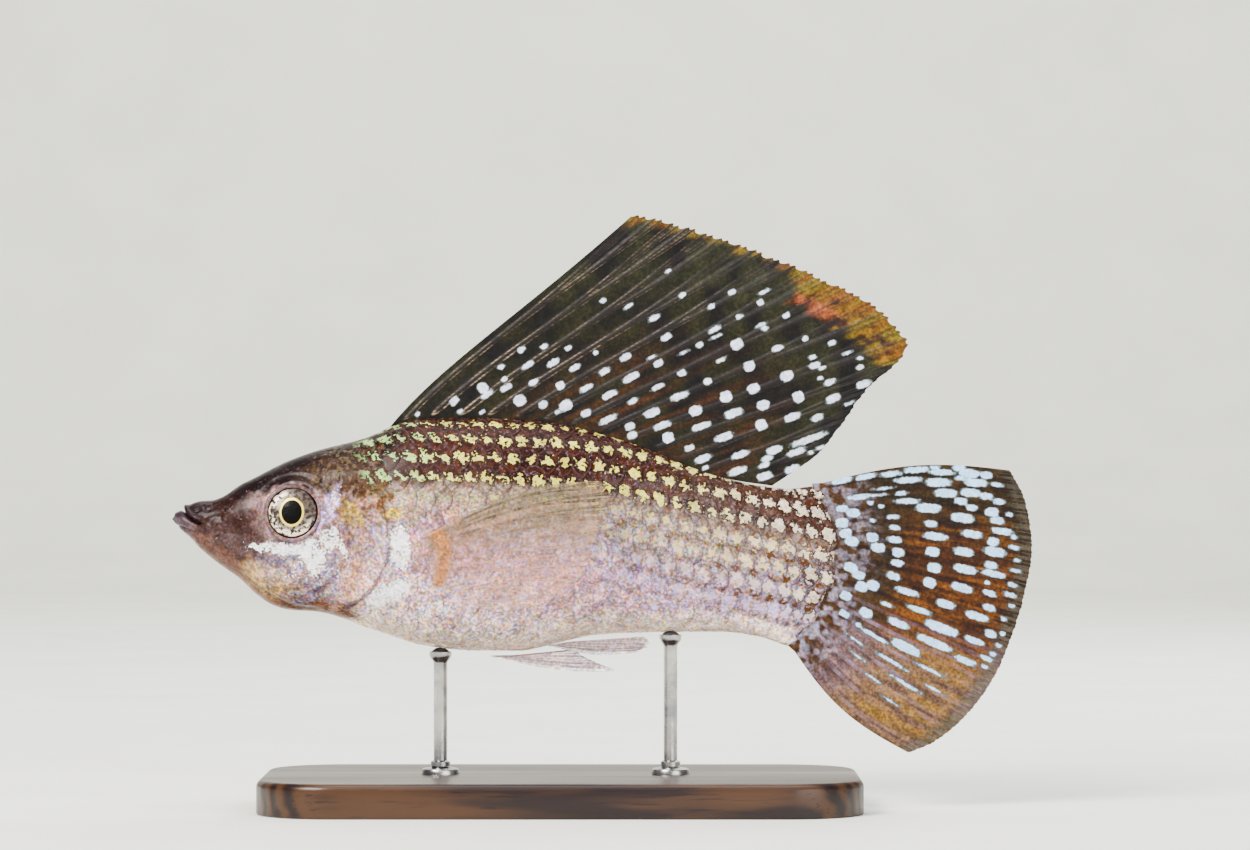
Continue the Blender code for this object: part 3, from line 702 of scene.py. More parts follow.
@dataclass(frozen=True)
class MembraneFinish:
    """Thin fin membrane over bony rays, with pale spots."""

    name: str
    core: Colour
    core_share: float = 0.6
    dull: float = 0.1
    spot: Colour = tone(196, 210, 224)
    spot_rim: Colour = tone(120, 132, 132)
    joint_share: float = 0.5
    sparkle: float = 0.9
    double: bool = True
    see_through: bool = False
    ray_cover: float = 0.3

    def make(self, effects: SharedEffects) -> bpy.types.Material:
        """Build the material.

        Args:
            effects: the shared node groups.

        Returns:
            The material.
        """
        material, w, shader = new_material(self.name)
        paint = w.painted("paint")
        ray = w.painted("ray").outputs["Fac"]
        station = w.split(w.painted("station").outputs["Vector"])
        edge = w.times_plus(w.noise(0.45, 3.0), 0.36, w.painted("spot").outputs["Fac"])
        edge = w.minus(edge, 0.20)

        joints = w.math("PINGPONG", w.times(station[1], 1.7), 0.5)
        dashes = w.times(w.step(joints, 0.10, 0.22), self.joint_share)
        core = w.step(ray, 0.45, 0.85)
        # Lines along each ray, on both its sides where double is set, dashed at the joints and patchy: they
        # carry the rays' own colour, and on the sail they are partly painted highlights where the raised rays
        # catch the light.
        line = w.step(ray, 0.18, 0.42) if self.double else w.step(ray, 0.30, 0.75)
        if self.double:
            line = w.times(line, w.step(ray, 0.80, 0.52))
        line = w.times(line, w.plus(dashes, 1.0 - self.joint_share))
        glint = w.step(w.noise(1.3, 3.0), 0.42, 0.62, (self.dull, 1.0))
        share = w.times(line, glint)
        base = effects.glittering(w, paint.outputs["Color"], self.sparkle, 1.2)
        colour = w.mix(w.times(core, self.core_share), base, self.core)
        lines = w.painted("ray_paint")
        colour = w.mix(w.times(share, lines.outputs["Alpha"]), colour, lines.outputs["Color"])
        colour = w.mix(w.step(edge, 0.10, 0.0), colour, self.spot_rim)
        colour = w.mix(w.step(edge, 0.02, -0.08), colour, effects.glittering(w, self.spot, 0.35, 0.8))
        height = w.plus(effects.grain(w, 0.4), w.times(w.times(joints, ray), 0.8))
        bump = w.bump(height, 0.4, 0.12)
        rough = w.step(w.noise(0.7), 0.3, 0.7, (0.40, 0.58))
        w.fill(shader, {"Base Color": colour, "Roughness": rough, "Normal": bump, "Specular IOR Level": 0.12})
        if self.see_through:
            clear = w.times_plus(share, self.ray_cover, paint.outputs["Alpha"])
            w.fill(shader, {"Alpha": w.math("MINIMUM", clear, 1.0)})
        return material


@dataclass(frozen=True)
class EyeFinish:
    """Black pupil, thin yellow ring and mottled silver iris under a clear glossy dome."""

    name: str = "fish_eye"
    pupil: Pair = (1.16, 1.36)
    iris_edge: float = 2.78

    def make(self, effects: SharedEffects) -> bpy.types.Material:
        """Build the material.

        Args:
            effects: the shared node groups; not used.

        Returns:
            The material.
        """
        material, w, shader = new_material(self.name)
        x, y, _ = w.split(w.painted("iris").outputs["Vector"])
        oval = w.hypot(w.over(x, self.pupil[0]), w.over(y, self.pupil[1]))
        radius = w.hypot(x, y)
        wave = w.times_plus(w.noise(0.5), 0.22, -0.11)
        blot = w.noise(0.42, 4.0)
        silver = w.mix(w.step(blot, 0.40, 0.62), tone(78, 66, 62), tone(178, 172, 162))
        rear = w.step(w.times_plus(y, 0.9, x), -0.4, 2.4)
        silver = w.mix(w.times(rear, 0.7), silver, tone(88, 68, 64))
        ring = w.times(w.step(w.plus(radius, wave), 1.9, 2.3), w.step(blot, 0.42, 0.56))
        silver = w.mix(w.times(ring, w.minus(0.95, rear)), silver, tone(220, 216, 208))
        outside = w.step(w.plus(radius, wave), self.iris_edge - 0.1, self.iris_edge + 0.06)
        colour = w.mix(outside, silver, tone(40, 28, 27))
        reach = w.plus(oval, w.times(wave, 0.5))
        colour = w.mix(w.step(reach, 1.29, 1.19), colour, tone(228, 212, 138))
        dark = w.step(oval, 1.08, 1.02)
        colour = w.mix(dark, colour, tone(5, 6, 10))
        silvery = w.times(w.minus(1.0, dark), 0.35)
        bump = w.bump(w.plus(blot, w.times(oval, 0.2)), 0.35, 0.1)
        w.fill(shader, {"Base Color": colour, "Roughness": 0.35, "Metallic": silvery, "Normal": bump,
                        "Specular IOR Level": 0.04, "Coat Weight": 0.10, "Coat Roughness": 0.02,
                        "Coat IOR": 1.3})
        return material


@dataclass(frozen=True)
class WoodFinish:
    """Dark stained wood under a satin lacquer."""

    name: str = "stained_wood"
    light: Colour = tone(98, 62, 38)
    dark: Colour = tone(44, 26, 17)

    def make(self, effects: SharedEffects) -> bpy.types.Material:
        """Build the material with its long grain, pores and soft figure.

        Args:
            effects: the shared node groups; not used.

        Returns:
            The material.
        """
        material, w, shader = new_material(self.name)
        figure = w.noise(9.0, 3.0, Vector((0.16, 1.0, 1.0)))
        place = w.node("TexCoord").outputs["Object"]
        bent = w.node("VectorMath", {0: place, 1: Vector((0.05, 1.0, 1.0))}, operation="MULTIPLY").outputs[0]
        shift = w.node("CombineXYZ", {1: w.times(figure, 0.006)}).outputs[0]
        bent = w.node("VectorMath", {0: bent, 1: shift}, operation="ADD").outputs[0]
        bands = w.node("TexWave", {"Vector": bent, "Scale": 170.0, "Distortion": 2.2, "Detail": 3.0,
                                   "Detail Scale": 2.0}, bands_direction="Y").outputs["Fac"]
        pores = w.noise(0.35, 2.0, Vector((0.06, 1.0, 1.0)))
        grain = w.times_plus(w.step(pores, 0.55, 0.72), -0.45, bands)
        colour = w.mix(w.step(grain, 0.0, 1.0), self.dark, self.light)
        bump = w.bump(grain, 0.2, 0.1)
        rough = w.step(figure, 0.3, 0.7, (0.32, 0.46))
        w.fill(shader, {"Base Color": colour, "Roughness": rough, "Normal": bump, "Coat Weight": 0.15,
                        "Coat Roughness": 0.2, "Specular IOR Level": 0.25})
        return material


@dataclass(frozen=True)
class SteelFinish:
    """Steel turned on a lathe, with fine rings."""

    name: str = "turned_steel"

    def make(self, effects: SharedEffects) -> bpy.types.Material:
        """Build the material.

        Args:
            effects: the shared node groups; not used.

        Returns:
            The material.
        """
        material, w, shader = new_material(self.name)
        rings = w.noise(0.09, 2.0, Vector((0.02, 0.02, 1.0)))
        stain = w.noise(2.5, 3.0)
        colour = w.mix(w.step(stain, 0.3, 0.7), tone(176, 176, 178), tone(206, 205, 202))
        rough = w.times_plus(rings, 0.18, w.step(stain, 0.3, 0.7, (0.14, 0.26)))
        bump = w.bump(rings, 0.25, 0.03)
        w.fill(shader, {"Base Color": colour, "Roughness": rough, "Normal": bump, "Metallic": 1.0})
        return material


@dataclass(frozen=True)
class PlainFinish:
    """Even matt surface with a faint mottle, for pads and the studio's paper."""

    name: str
    colour: Colour
    roughness: float = 0.7

    def make(self, effects: SharedEffects) -> bpy.types.Material:
        """Build the material.

        Args:
            effects: the shared node groups.

        Returns:
            The material.
        """
        material, w, shader = new_material(self.name)
        cloud = w.noise(30.0, 3.0)
        darker = tuple(part * 0.94 for part in self.colour)
        bump = w.bump(effects.grain(w, 0.3), 0.1, 0.1)
        w.fill(shader, {"Base Color": w.mix(w.step(cloud, 0.3, 0.7), darker, self.colour),
                        "Roughness": self.roughness, "Normal": bump})
        return material


# Body form

class Section(NamedTuple):
    """Sizes of the body's cross-sections."""

    top: Array
    bottom: Array
    half: Array
    middle: Array
    top_power: Array
    low_power: Array


class BodyForm:
    """The fish's smooth body, read at places along its length."""

    STATIONS = (
        (0.0, 0.0, 0.0, 0.0), (0.9, 0.9, -1.1, 1.45), (2.1, 1.7, -2.1, 2.2), (3.3, 2.1, -3.4, 2.75),
        (4.7, 2.2, -4.6, 3.2), (5.9, 2.6, -5.5, 3.6), (8.0, 4.0, -7.0, 4.2), (9.8, 4.9, -8.7, 4.7),
        (11.7, 5.9, -10.0, 5.15), (13.6, 6.8, -10.6, 5.55), (17.3, 8.1, -10.9, 6.1), (22.0, 9.3, -12.3, 6.6),
        (24.3, 10.1, -13.1, 6.75), (26.7, 11.2, -13.9, 6.85), (29.0, 11.7, -14.6, 6.95),
        (36.0, 11.8, -15.3, 7.0), (40.7, 11.6, -15.3, 6.7), (45.4, 11.1, -14.3, 6.1), (50.1, 9.9, -13.4, 5.3),
        (54.8, 8.5, -13.2, 4.6), (59.4, 6.6, -13.1, 3.9), (64.1, 4.9, -13.1, 3.2), (68.8, 3.8, -13.7, 2.6),
        (72.3, 3.5, -14.9, 2.1), (75.8, 3.9, -15.5, 1.7), (80.0, 4.2, -15.8, 1.3),
    )
    SHAPES = ((0.0, 0.50, 2.2, 2.2), (14.0, 0.50, 2.7, 2.1), (30.0, 0.52, 2.0, 2.2), (60.0, 0.52, 1.8, 1.9),
              (80.0, 0.50, 1.8, 1.8))
    LATERAL = ((14.0, 2.9), (27.0, 2.6), (36.0, 2.4), (47.0, 1.75), (54.2, 0.58), (61.3, -1.1), (72.4, -3.45),
               (80.0, -5.0))
    END = 79.2
    BEND_FROM = 66.0
    TAIL_CENTRE = (62.3, -3.6)
    TAIL_RADIUS = 15.6
    TAIL_OVERLAP = 1.2
    FINE = 501

    def __init__(self) -> None:
        """Prepare the smooth curves through the stations."""
        self.outline = Columns(self.STATIONS)
        self.shape = Columns(self.SHAPES)
        self.lateral = Columns(self.LATERAL)

    def section(self, u: Any) -> Section:
        """Sizes of the sections at u.

        Args:
            u: places behind the jaw tip.

        Returns:
            The sections' sizes.
        """
        top, bottom, half = np.moveaxis(self.outline(u), -1, 0)
        share, top_power, low_power = np.moveaxis(self.shape(u), -1, 0)
        return Section(top, bottom, half, bottom + (top - bottom) * share, top_power, low_power)

    def half_width(self, u: Any, v: Any) -> Array:
        """Half width of the body at u and at height v.

        Args:
            u: places behind the jaw tip.
            v: heights above the jaw tip.

        Returns:
            One half width for each place.
        """
        s = self.section(u)
        upper = v >= s.middle
        rise = np.where(upper, s.top - s.middle, s.middle - s.bottom)
        power = np.where(upper, s.top_power, s.low_power)
        share = np.clip(np.abs(v - s.middle) / np.maximum(rise, 1e-6), 0, 1)
        return s.half * (1 - share ** power) ** (1 / power)

    def stalk_end(self, v: Any) -> Array:
        """Where the round end of the stalk lies at height v."""
        return self.TAIL_CENTRE[0] + np.sqrt(self.TAIL_RADIUS ** 2 - (v - self.TAIL_CENTRE[1]) ** 2)

    def fit_to_tail(self, u: Array, y: Array, v: Array) -> Array:
        """Bend the last sections to the round end of the stalk, and thin them over the tail's rays.

        Args:
            u: place of each section.
            y: sideways places, one row for each section.
            v: heights, one row for each section.

        Returns:
            Rows of u, y and v.
        """
        share = ease(self.BEND_FROM, self.END, u)[:, None]
        top, bottom = self.outline(u)[:, 0:1], self.outline(u)[:, 1:2]

        def moved(height: Array) -> Array:
            """Place of a point of the section after the bend."""
            return u[:, None] + share * (self.stalk_end(height) + self.TAIL_OVERLAP - self.END)

        new_top = self.outline(moved(top))[..., 0]
        new_bottom = self.outline(moved(bottom))[..., 1]
        height = (v - bottom) / np.maximum(top - bottom, 1e-6)
        thin = 1 - 0.75 * ease(self.END - 2.5, self.END, u)[:, None]
        return np.stack([moved(v), y * thin, new_bottom + (new_top - new_bottom) * height], axis=-1)

    def half_rings(self, u: Array, columns: int) -> tuple[Array, Array]:
        """Rings of the left side, with evenly spaced points from the back to the belly.

        Args:
            u: place of each ring.
            columns: points in a ring.

        Returns:
            Places by ring and column, and their distance along the skin from the ridge of the back.
        """
        s = self.section(u)
        angles = np.linspace(math.pi / 2, 3 * math.pi / 2, self.FINE)
        c, rise = np.cos(angles), np.sin(angles)
        upper = rise >= 0
        depth = np.where(upper, (s.top - s.middle)[:, None], (s.middle - s.bottom)[:, None])
        power = np.where(upper, s.top_power[:, None], s.low_power[:, None])
        y = -s.half[:, None] * np.abs(c) ** (2 / power)
        v = s.middle[:, None] + depth * np.sign(rise) * np.abs(rise) ** (2 / power)
        fine = self.fit_to_tail(u, y, v)
        steps = np.linalg.norm(np.diff(fine, axis=1), axis=2)
        lengths = np.concatenate([np.zeros((len(u), 1)), np.cumsum(steps, axis=1)], axis=1)
        places = np.zeros((len(u), columns, 3))
        wanted = np.linspace(0, 1, columns) * lengths[:, -1:]
        for i in range(len(u)):
            for axis in range(3):
                places[i, :, axis] = np.interp(wanted[i], lengths[i], fine[i, :, axis])
        places[:, (0, -1), 1] = 0.0
        return places, wanted


class SkinMap:
    """Places on the left skin by u and by the distance along the skin below the lateral row of scales."""

    START = 12.0
    STEP = 0.25
    COLUMNS = 141

    def __init__(self, form: BodyForm) -> None:
        """Tabulate the skin behind the eye.

        Args:
            form: the body's form.
        """
        self.u = np.arange(self.START, form.END + self.STEP / 2, self.STEP)
        self.places, arcs = form.half_rings(self.u, self.COLUMNS)
        self.normals = grid_normals(self.places)
        self.length = arcs[:, -1]
        heights = form.lateral(self.u)[:, 0]
        rows = zip(heights, self.places, arcs)
        self.zero = np.array([np.interp(-height, -ring[:, 2], arc) for height, ring, arc in rows])

    def span(self, u: Any) -> tuple[Array, Array]:
        """Distances along the skin at u, from the back to the lateral row and to the belly."""
        return np.interp(u, self.u, self.zero), np.interp(u, self.u, self.length)

    def distance(self, u: Array, arc: Array) -> Array:
        """Distance below the lateral row, from the distance below the back."""
        return arc - self.span(u)[0]

    def locate(self, u: Array, below: Array) -> tuple[Array, Array, Array]:
        """Find places on the skin, also past the ridges of back and belly.

        Args:
            u: nominal place along the body.
            below: distance along the skin below the lateral row.

        Returns:
            Places, outward normals, and the share of the way from back to belly.
        """
        u = np.clip(u, self.u[0], self.u[-1] - 1e-6)
        zero, length = self.span(u)
        share = (below + zero) / length
        mirror = np.where((share < 0) | (share > 1), -1.0, 1.0)
        share = np.where(share < 0, -share, np.where(share > 1, 2 - share, share))
        row = (u - self.u[0]) / self.STEP
        column = np.clip(share, 0, 1 - 1e-9) * (self.COLUMNS - 1)
        i, j = row.astype(int), column.astype(int)
        a, b = (row - i)[..., None], (column - j)[..., None]
        found = []
        for table in (self.places, self.normals):
            near = table[i, j] * (1 - b) + table[i, j + 1] * b
            far = table[i + 1, j] * (1 - b) + table[i + 1, j + 1] * b
            value = near * (1 - a) + far * a
            value[..., 1] *= mirror
            found.append(value)
        return found[0], found[1], share


class ScaleLayout:
    """Counts scales along and across the body, so that skin and scales carry the same markings."""

    PITCH = 2.0
    ROW = 2.5
    FIRST = 22.0
    VISIBLE = 0.27

    @classmethod
    def count(cls, u: Array, below: Array) -> Array:
        """Scale count along and across, at distances below the lateral row."""
        return np.stack([(u - cls.FIRST) / cls.PITCH, below / cls.ROW, np.zeros_like(u)], axis=-1)


# Markings

@dataclass(frozen=True)
class Patch:
    """A soft oval patch on the side of the head or body."""

    centre: Pair
    radii: Pair
    tilt: float = 0.0
    strength: float = 1.0
    soft: float = 0.45

    def share(self, u: Array, v: Array, broken: Array) -> Array:
        """How much of the patch's colour each place takes, frayed by a broken field near 1.

        Args:
            u: places behind the jaw tip.
            v: heights above the jaw tip.
            broken: a field near 1 that frays the edge.

        Returns:
            One share for each place.
        """
        turn = math.radians(self.tilt)
        du, dv = u - self.centre[0], v - self.centre[1]
        along = (du * math.cos(turn) + dv * math.sin(turn)) / self.radii[0]
        across = (dv * math.cos(turn) - du * math.sin(turn)) / self.radii[1]
        share = self.strength * broken * ease(1 + self.soft, 1 - self.soft, np.hypot(along, across))
        return np.clip(share, 0, 1)


class BodyMarkings:
    """Colours and masks of skin and scales."""

    BACK = tone(62, 32, 16)
    NAPE = tone(66, 38, 26)
    UPPER_FLANK = tone(188, 174, 160)
    REAR_BACK = tone(92, 54, 22)
    FLANK = tone(190, 177, 185)
    LOW_FLANK = tone(207, 194, 196)
    BELLY = tone(230, 214, 208)
    HEAD = tone(72, 46, 40)
    CROWN = tone(38, 20, 13)
    CHEEK = tone(172, 148, 146)
    THROAT = tone(152, 108, 78)
    PATCHES = (
        (tone(60, 36, 31), Patch((5.2, 0.6), (5.0, 2.2), 0, 0.9)),
        (tone(50, 36, 42), Patch((2.4, 1.3), (1.9, 0.8), -10, 0.9)),
        (tone(100, 80, 96), Patch((1.3, -0.5), (2.0, 1.0), -30, 0.9)),
        (tone(114, 86, 84), Patch((7.6, -2.6), (3.6, 1.5), -20, 0.75)),
        (tone(142, 98, 80), Patch((6.0, -4.2), (4.6, 0.9), -38, 0.85)),
        (tone(204, 188, 150), Patch((11.6, -7.0), (3.4, 1.6), -24, 0.8)),
        (tone(156, 96, 60), Patch((10.6, -9.4), (4.2, 0.7), -38, 0.9, 0.3)),
        (tone(172, 164, 182), Patch((17.2, -8.2), (3.4, 1.1), 14, 0.6)),
        (tone(190, 176, 186), Patch((16.4, -4.6), (5.6, 2.6), 6, 0.7)),
        (tone(168, 138, 124), Patch((21.4, -3.2), (1.9, 2.9), -12, 0.8)),
        (tone(204, 180, 160), Patch((22.2, -6.8), (2.6, 1.3), 44, 0.7)),
        (tone(120, 78, 50), Patch((22.2, 3.0), (3.4, 2.6), -20, 0.8)),
        (tone(82, 54, 38), Patch((19.6, 5.4), (4.6, 2.2), 14, 0.85)),
        (tone(184, 166, 78), Patch((21.0, 0.9), (2.3, 1.0), -35, 0.85, 0.35)),
        # Lilac white streak behind the eye: a painted glint.
        (tone(200, 186, 206), Patch((18.6, 1.4), (0.6, 2.6), -24, 0.9, 0.4)),
        (tone(150, 104, 50), Patch((25.3, 1.9), (0.9, 3.2), 10, 0.8)),
        (tone(206, 192, 70), Patch((26.6, 0.9), (1.2, 0.8), 30, 1.0, 0.35)),
        (tone(206, 158, 140), Patch((32.0, -3.0), (5.0, 3.8), 25, 0.45)),
        (tone(206, 160, 138), Patch((43.0, -6.5), (9.0, 3.4), -8, 0.35)),
        (tone(198, 170, 186), Patch((54.0, -8.0), (14.0, 4.0), -4, 0.35)),
        (tone(164, 150, 150), Patch((62.0, -2.6), (15.0, 5.5), -14, 0.6)),
        (tone(158, 148, 172), Patch((76.0, -9.0), (4.6, 5.0), 30, 0.6)),
        (tone(116, 76, 44), Patch((77.6, 0.5), (1.6, 6.0), 0, 0.6, 0.5)),
    )

    SILVER = (
        Patch((13.2, -3.3), (4.4, 0.8), -4, 0.95, 0.5),
        Patch((16.7, -4.2), (1.6, 2.6), 20, 0.95, 0.55),
        Patch((18.6, -2.4), (1.9, 1.2), -30, 0.8, 0.6),
        Patch((20.0, -2.6), (2.6, 0.5), -64, 0.8, 0.6),
        Patch((16.2, -6.4), (5.0, 1.6), 8, 0.42, 0.7),
        # The same streak behind the eye, made flaky white: a painted glint.
        Patch((18.8, 1.4), (0.8, 3.0), -24, 0.5, 0.6),
        Patch((26.9, -3.2), (1.3, 2.9), 6, 1.0, 0.5),
        Patch((25.6, -8.6), (3.2, 1.4), 34, 1.0, 0.5),
        Patch((30.2, -10.6), (4.4, 1.4), 12, 0.55, 0.6),
    )

    def __init__(self, form: BodyForm) -> None:
        """Keep the body's form, and the noise that frays the patches' edges.

        Args:
            form: the body's form.
        """
        self.form = form
        self.drift = SoftNoise(11)
        self.speck = SoftNoise(12)

    def colour(self, places: Array, below: Array) -> Array:
        """Colour of each place.

        Args:
            places: rows of u, y and v.
            below: distance along the skin below the lateral row.

        Returns:
            Rows of red, green, blue and 1.
        """
        moved = places + 0.55 * np.stack([self.drift(places + 9 * k, 1.3) for k in (1, 2, 3)], axis=-1)
        moved += 0.35 * np.stack([self.speck(places + 9 * k, 0.45) for k in (1, 2, 3)], axis=-1)
        u, v = moved[..., 0], moved[..., 2]
        row = below / ScaleLayout.ROW + 0.25 * self.drift(places, 1.6)
        s = self.form.section(places[..., 0])
        height = (v - s.bottom) / np.maximum(s.top - s.bottom, 1e-6)

        body = blend(self.UPPER_FLANK, self.FLANK, ease(0.3, 2.2, row))
        body = blend(body, self.LOW_FLANK, ease(2.5, 5.0, row))
        body = blend(body, self.BELLY, ease(0.16, 0.02, height))
        back = blend(self.BACK, self.REAR_BACK, ease(52.0, 66.0, u))
        body = blend(body, back, 1 - ease(-1.15, -0.35, row))
        body = blend(body, self.NAPE, (1 - ease(-1.1, -0.4, row)) * ease(30.0, 23.0, u))

        crown = ease(-0.1, 0.9, v - np.interp(u, (0, 4, 9, 14, 20, 26), (-0.6, 0.2, 2.2, 3.4, 2.6, 1.6)))
        head = blend(self.CHEEK, self.HEAD, ease(13.0, 8.0, u + 0.5 * v))
        head = blend(head, self.CROWN, crown)
        head = blend(head, self.THROAT, ease(0.12, 0.02, height))
        colours = blend(head, body, ease(23.5, 26.5, u - 0.25 * (v - 2)))
        broken = 0.78 + 0.5 * self.speck(places + 40, 0.5)
        for shade, patch in self.PATCHES:
            colours = blend(colours, shade, patch.share(u, v, broken))
        return with_last(colours, 1.0)

    def white(self, places: Array) -> Array:
        """How white and silvery each place of the cheek and shoulder is.

        Args:
            places: rows of u, y and v.

        Returns:
            One share for each place.
        """
        u, v = places[..., 0], places[..., 2]
        broken = 0.85 + 0.35 * self.speck(places + 40, 0.7)
        return np.max([patch.share(u, v, broken) for patch in self.SILVER], axis=0)[..., None]

    def masks(self, places: Array, below: Array) -> Array:
        """Where the back's spots, the flank's dots, silver shine and small head scales show.

        Args:
            places: rows of u, y and v.
            below: distance along the skin below the lateral row.

        Returns:
            Rows of the four masks.
        """
        u, v = places[..., 0], places[..., 2]
        row = below / ScaleLayout.ROW
        drift = 0.3 * self.drift(places, 2.0)
        back = (1 - ease(-0.8, 0.2, row + drift)) * ease(20.5, 23.5, u + 0.25 * (v - 9))
        back = np.maximum(back, ease(70.0, 75.0, u) * ease(3.6, 2.6, row + drift))
        dots = ease(36.0, 60.0, u) * ease(-0.9, -0.3, row) * ease(4.6, 3.0, row)
        dots = dots * (0.55 + 0.45 * ease(56.0, 72.0, u))
        shine = ease(-1.2, 0.2, row + drift) * ease(7.0, 15.0, u) * 0.62 + 0.1
        facets = ease(15.5, 18.5, u) * ease(26.5, 24.5, u) * ease(1.8, 4.0, v + 0.5 * drift)
        return np.stack([back, dots, shine, facets], axis=-1)


# Head relief

@dataclass(frozen=True)
class Crease:
    """A fold line on the side of the head: a ridge, a groove, or a free edge over the skin behind."""

    points: tuple[Pair, ...]
    width: float
    height: float
    edge: float = 0.0
    edge_reach: float = 2.0
    fade: float = 0.15

    def lift(self, u: Array, v: Array) -> Array:
        """Height that the line adds at each place, seen from the side.

        Args:
            u: places behind the jaw tip.
            v: heights.

        Returns:
            Heights over the smooth form.
        """
        line = Path(self.points)(np.linspace(0, 1, 36))
        nearest = np.full(u.shape, 1e9)
        signed = np.zeros(u.shape)
        share = np.zeros(u.shape)
        for i, (a, b) in enumerate(zip(line, line[1:])):
            way = b - a
            length = np.hypot(*way)
            t = np.clip(((u - a[0]) * way[0] + (v - a[1]) * way[1]) / length ** 2, 0, 1)
            du, dv = u - a[0] - way[0] * t, v - a[1] - way[1] * t
            away = np.hypot(du, dv)
            closer = away < nearest
            nearest = np.where(closer, away, nearest)
            right = -(way[0] * dv - way[1] * du)
            signed = np.where(closer, np.sign(right) * away, signed)
            share = np.where(closer, (i + t) / (len(line) - 1), share)
        ends = 1.0
        if self.fade > 0:
            ends = ease(0.0, self.fade, share) * ease(0.0, self.fade, 1 - share)
        free = ease(-0.14, 0.08, signed) * np.exp(-np.maximum(signed, 0) / self.edge_reach)
        return (self.height * np.exp(-(nearest / self.width) ** 2) + self.edge * free) * ends


@dataclass(frozen=True)
class Pit:
    """A small round hole with a raised rim, such as a nostril or a pore."""

    centre: Pair
    radius: float
    depth: float
    rim: float

    def lift(self, u: Array, v: Array) -> Array:
        """Height that the pit adds at each place, seen from the side."""
        r = np.hypot(u - self.centre[0], v - self.centre[1]) / self.radius
        return self.rim * np.exp(-((r - 1.5) / 0.45) ** 2) - self.depth * np.exp(-r ** 4)


class HeadRelief:
    """Mouth, lips, nostrils, folds and gill cover of the head."""

    REACH = 32.0
    CREASES = (
        Crease(((1.0, 1.5), (1.46, 0.94), (2.0, 0.35), (2.7, -0.1), (3.45, -0.42)), 0.17, -0.55, fade=0.0),
        Crease(((1.25, 1.9), (1.75, 1.35), (2.3, 0.72), (3.0, 0.22), (3.8, -0.12)), 0.30, 0.24, fade=0.08),
        Crease(((0.2, 0.9), (0.75, 0.35), (1.5, -0.15), (2.4, -0.72), (3.3, -1.0)), 0.40, 0.20, fade=0.08),
        Crease(((0.3, -0.7), (1.4, -0.95), (2.5, -1.35), (3.7, -1.25)), 0.22, -0.16),
        Crease(((1.9, 1.25), (2.8, 0.92), (3.3, 1.15), (3.8, 1.38), (4.3, 1.15), (5.0, 1.3)), 0.20, -0.16),
        Crease(((4.6, 1.6), (5.6, 1.7), (6.4, 1.85), (7.4, 1.8)), 0.22, -0.12),
        Crease(((4.2, -0.6), (5.0, 0.2), (6.4, 0.3)), 0.45, -0.10),
        Crease(((3.9, -2.5), (5.4, -3.0), (7.1, -3.4)), 0.25, -0.14),
        Crease(((8.0, -6.1), (10.2, -7.8), (12.6, -9.4), (15.0, -10.3), (18.0, -10.5)), 0.32, -0.18),
        Crease(((9.0, -2.6), (11.4, -3.9), (14.6, -4.5), (17.6, -3.9), (19.2, -1.4), (19.6, 1.4)),
               0.5, -0.10),
        Crease(((19.9, 3.6), (20.6, 0.6), (20.9, -2.6), (20.2, -5.6), (18.2, -7.9), (15.4, -9.0)),
               0.34, -0.17),
        Crease(((19.6, -2.0), (19.4, -4.6), (17.8, -6.9), (15.2, -8.1), (12.6, -8.0)), 0.30, -0.09),
        Crease(((24.6, 3.4), (25.1, 1.2), (25.5, -1.6), (25.4, -4.2), (24.6, -6.4), (23.2, -8.4),
                (21.0, -10.0), (18.6, -10.9)), 0.35, -0.10, 0.42, 2.6, 0.08),
        Crease(((24.0, 2.6), (24.4, 0.4), (24.6, -2.2), (24.2, -4.8), (22.9, -7.0), (20.8, -8.8)),
               0.22, -0.08),
        Crease(((11.0, 4.6), (13.0, 5.2), (15.4, 5.4), (18.0, 4.6)), 0.5, 0.12),
    )
    PITS = (Pit((6.55, 1.12), 0.22, 0.22, 0.12), Pit((10.3, 2.75), 0.20, 0.20, 0.06),
            Pit((5.6, -1.95), 0.18, 0.16, 0.06), Pit((8.4, 0.2), 0.13, 0.10, 0.04),
            Pit((7.6, -2.0), 0.12, 0.10, 0.04), Pit((9.6, -4.6), 0.12, 0.10, 0.03))

    def lift(self, places: Array) -> Array:
        """Height over the smooth form at each place.

        Args:
            places: rows of u, y and v.

        Returns:
            One height for each place.
        """
        u, v = places[..., 0], places[..., 2]
        near = u < self.REACH
        total = np.zeros(u.shape)
        for form in self.CREASES + self.PITS:
            total[near] += form.lift(u[near], v[near])
        return total


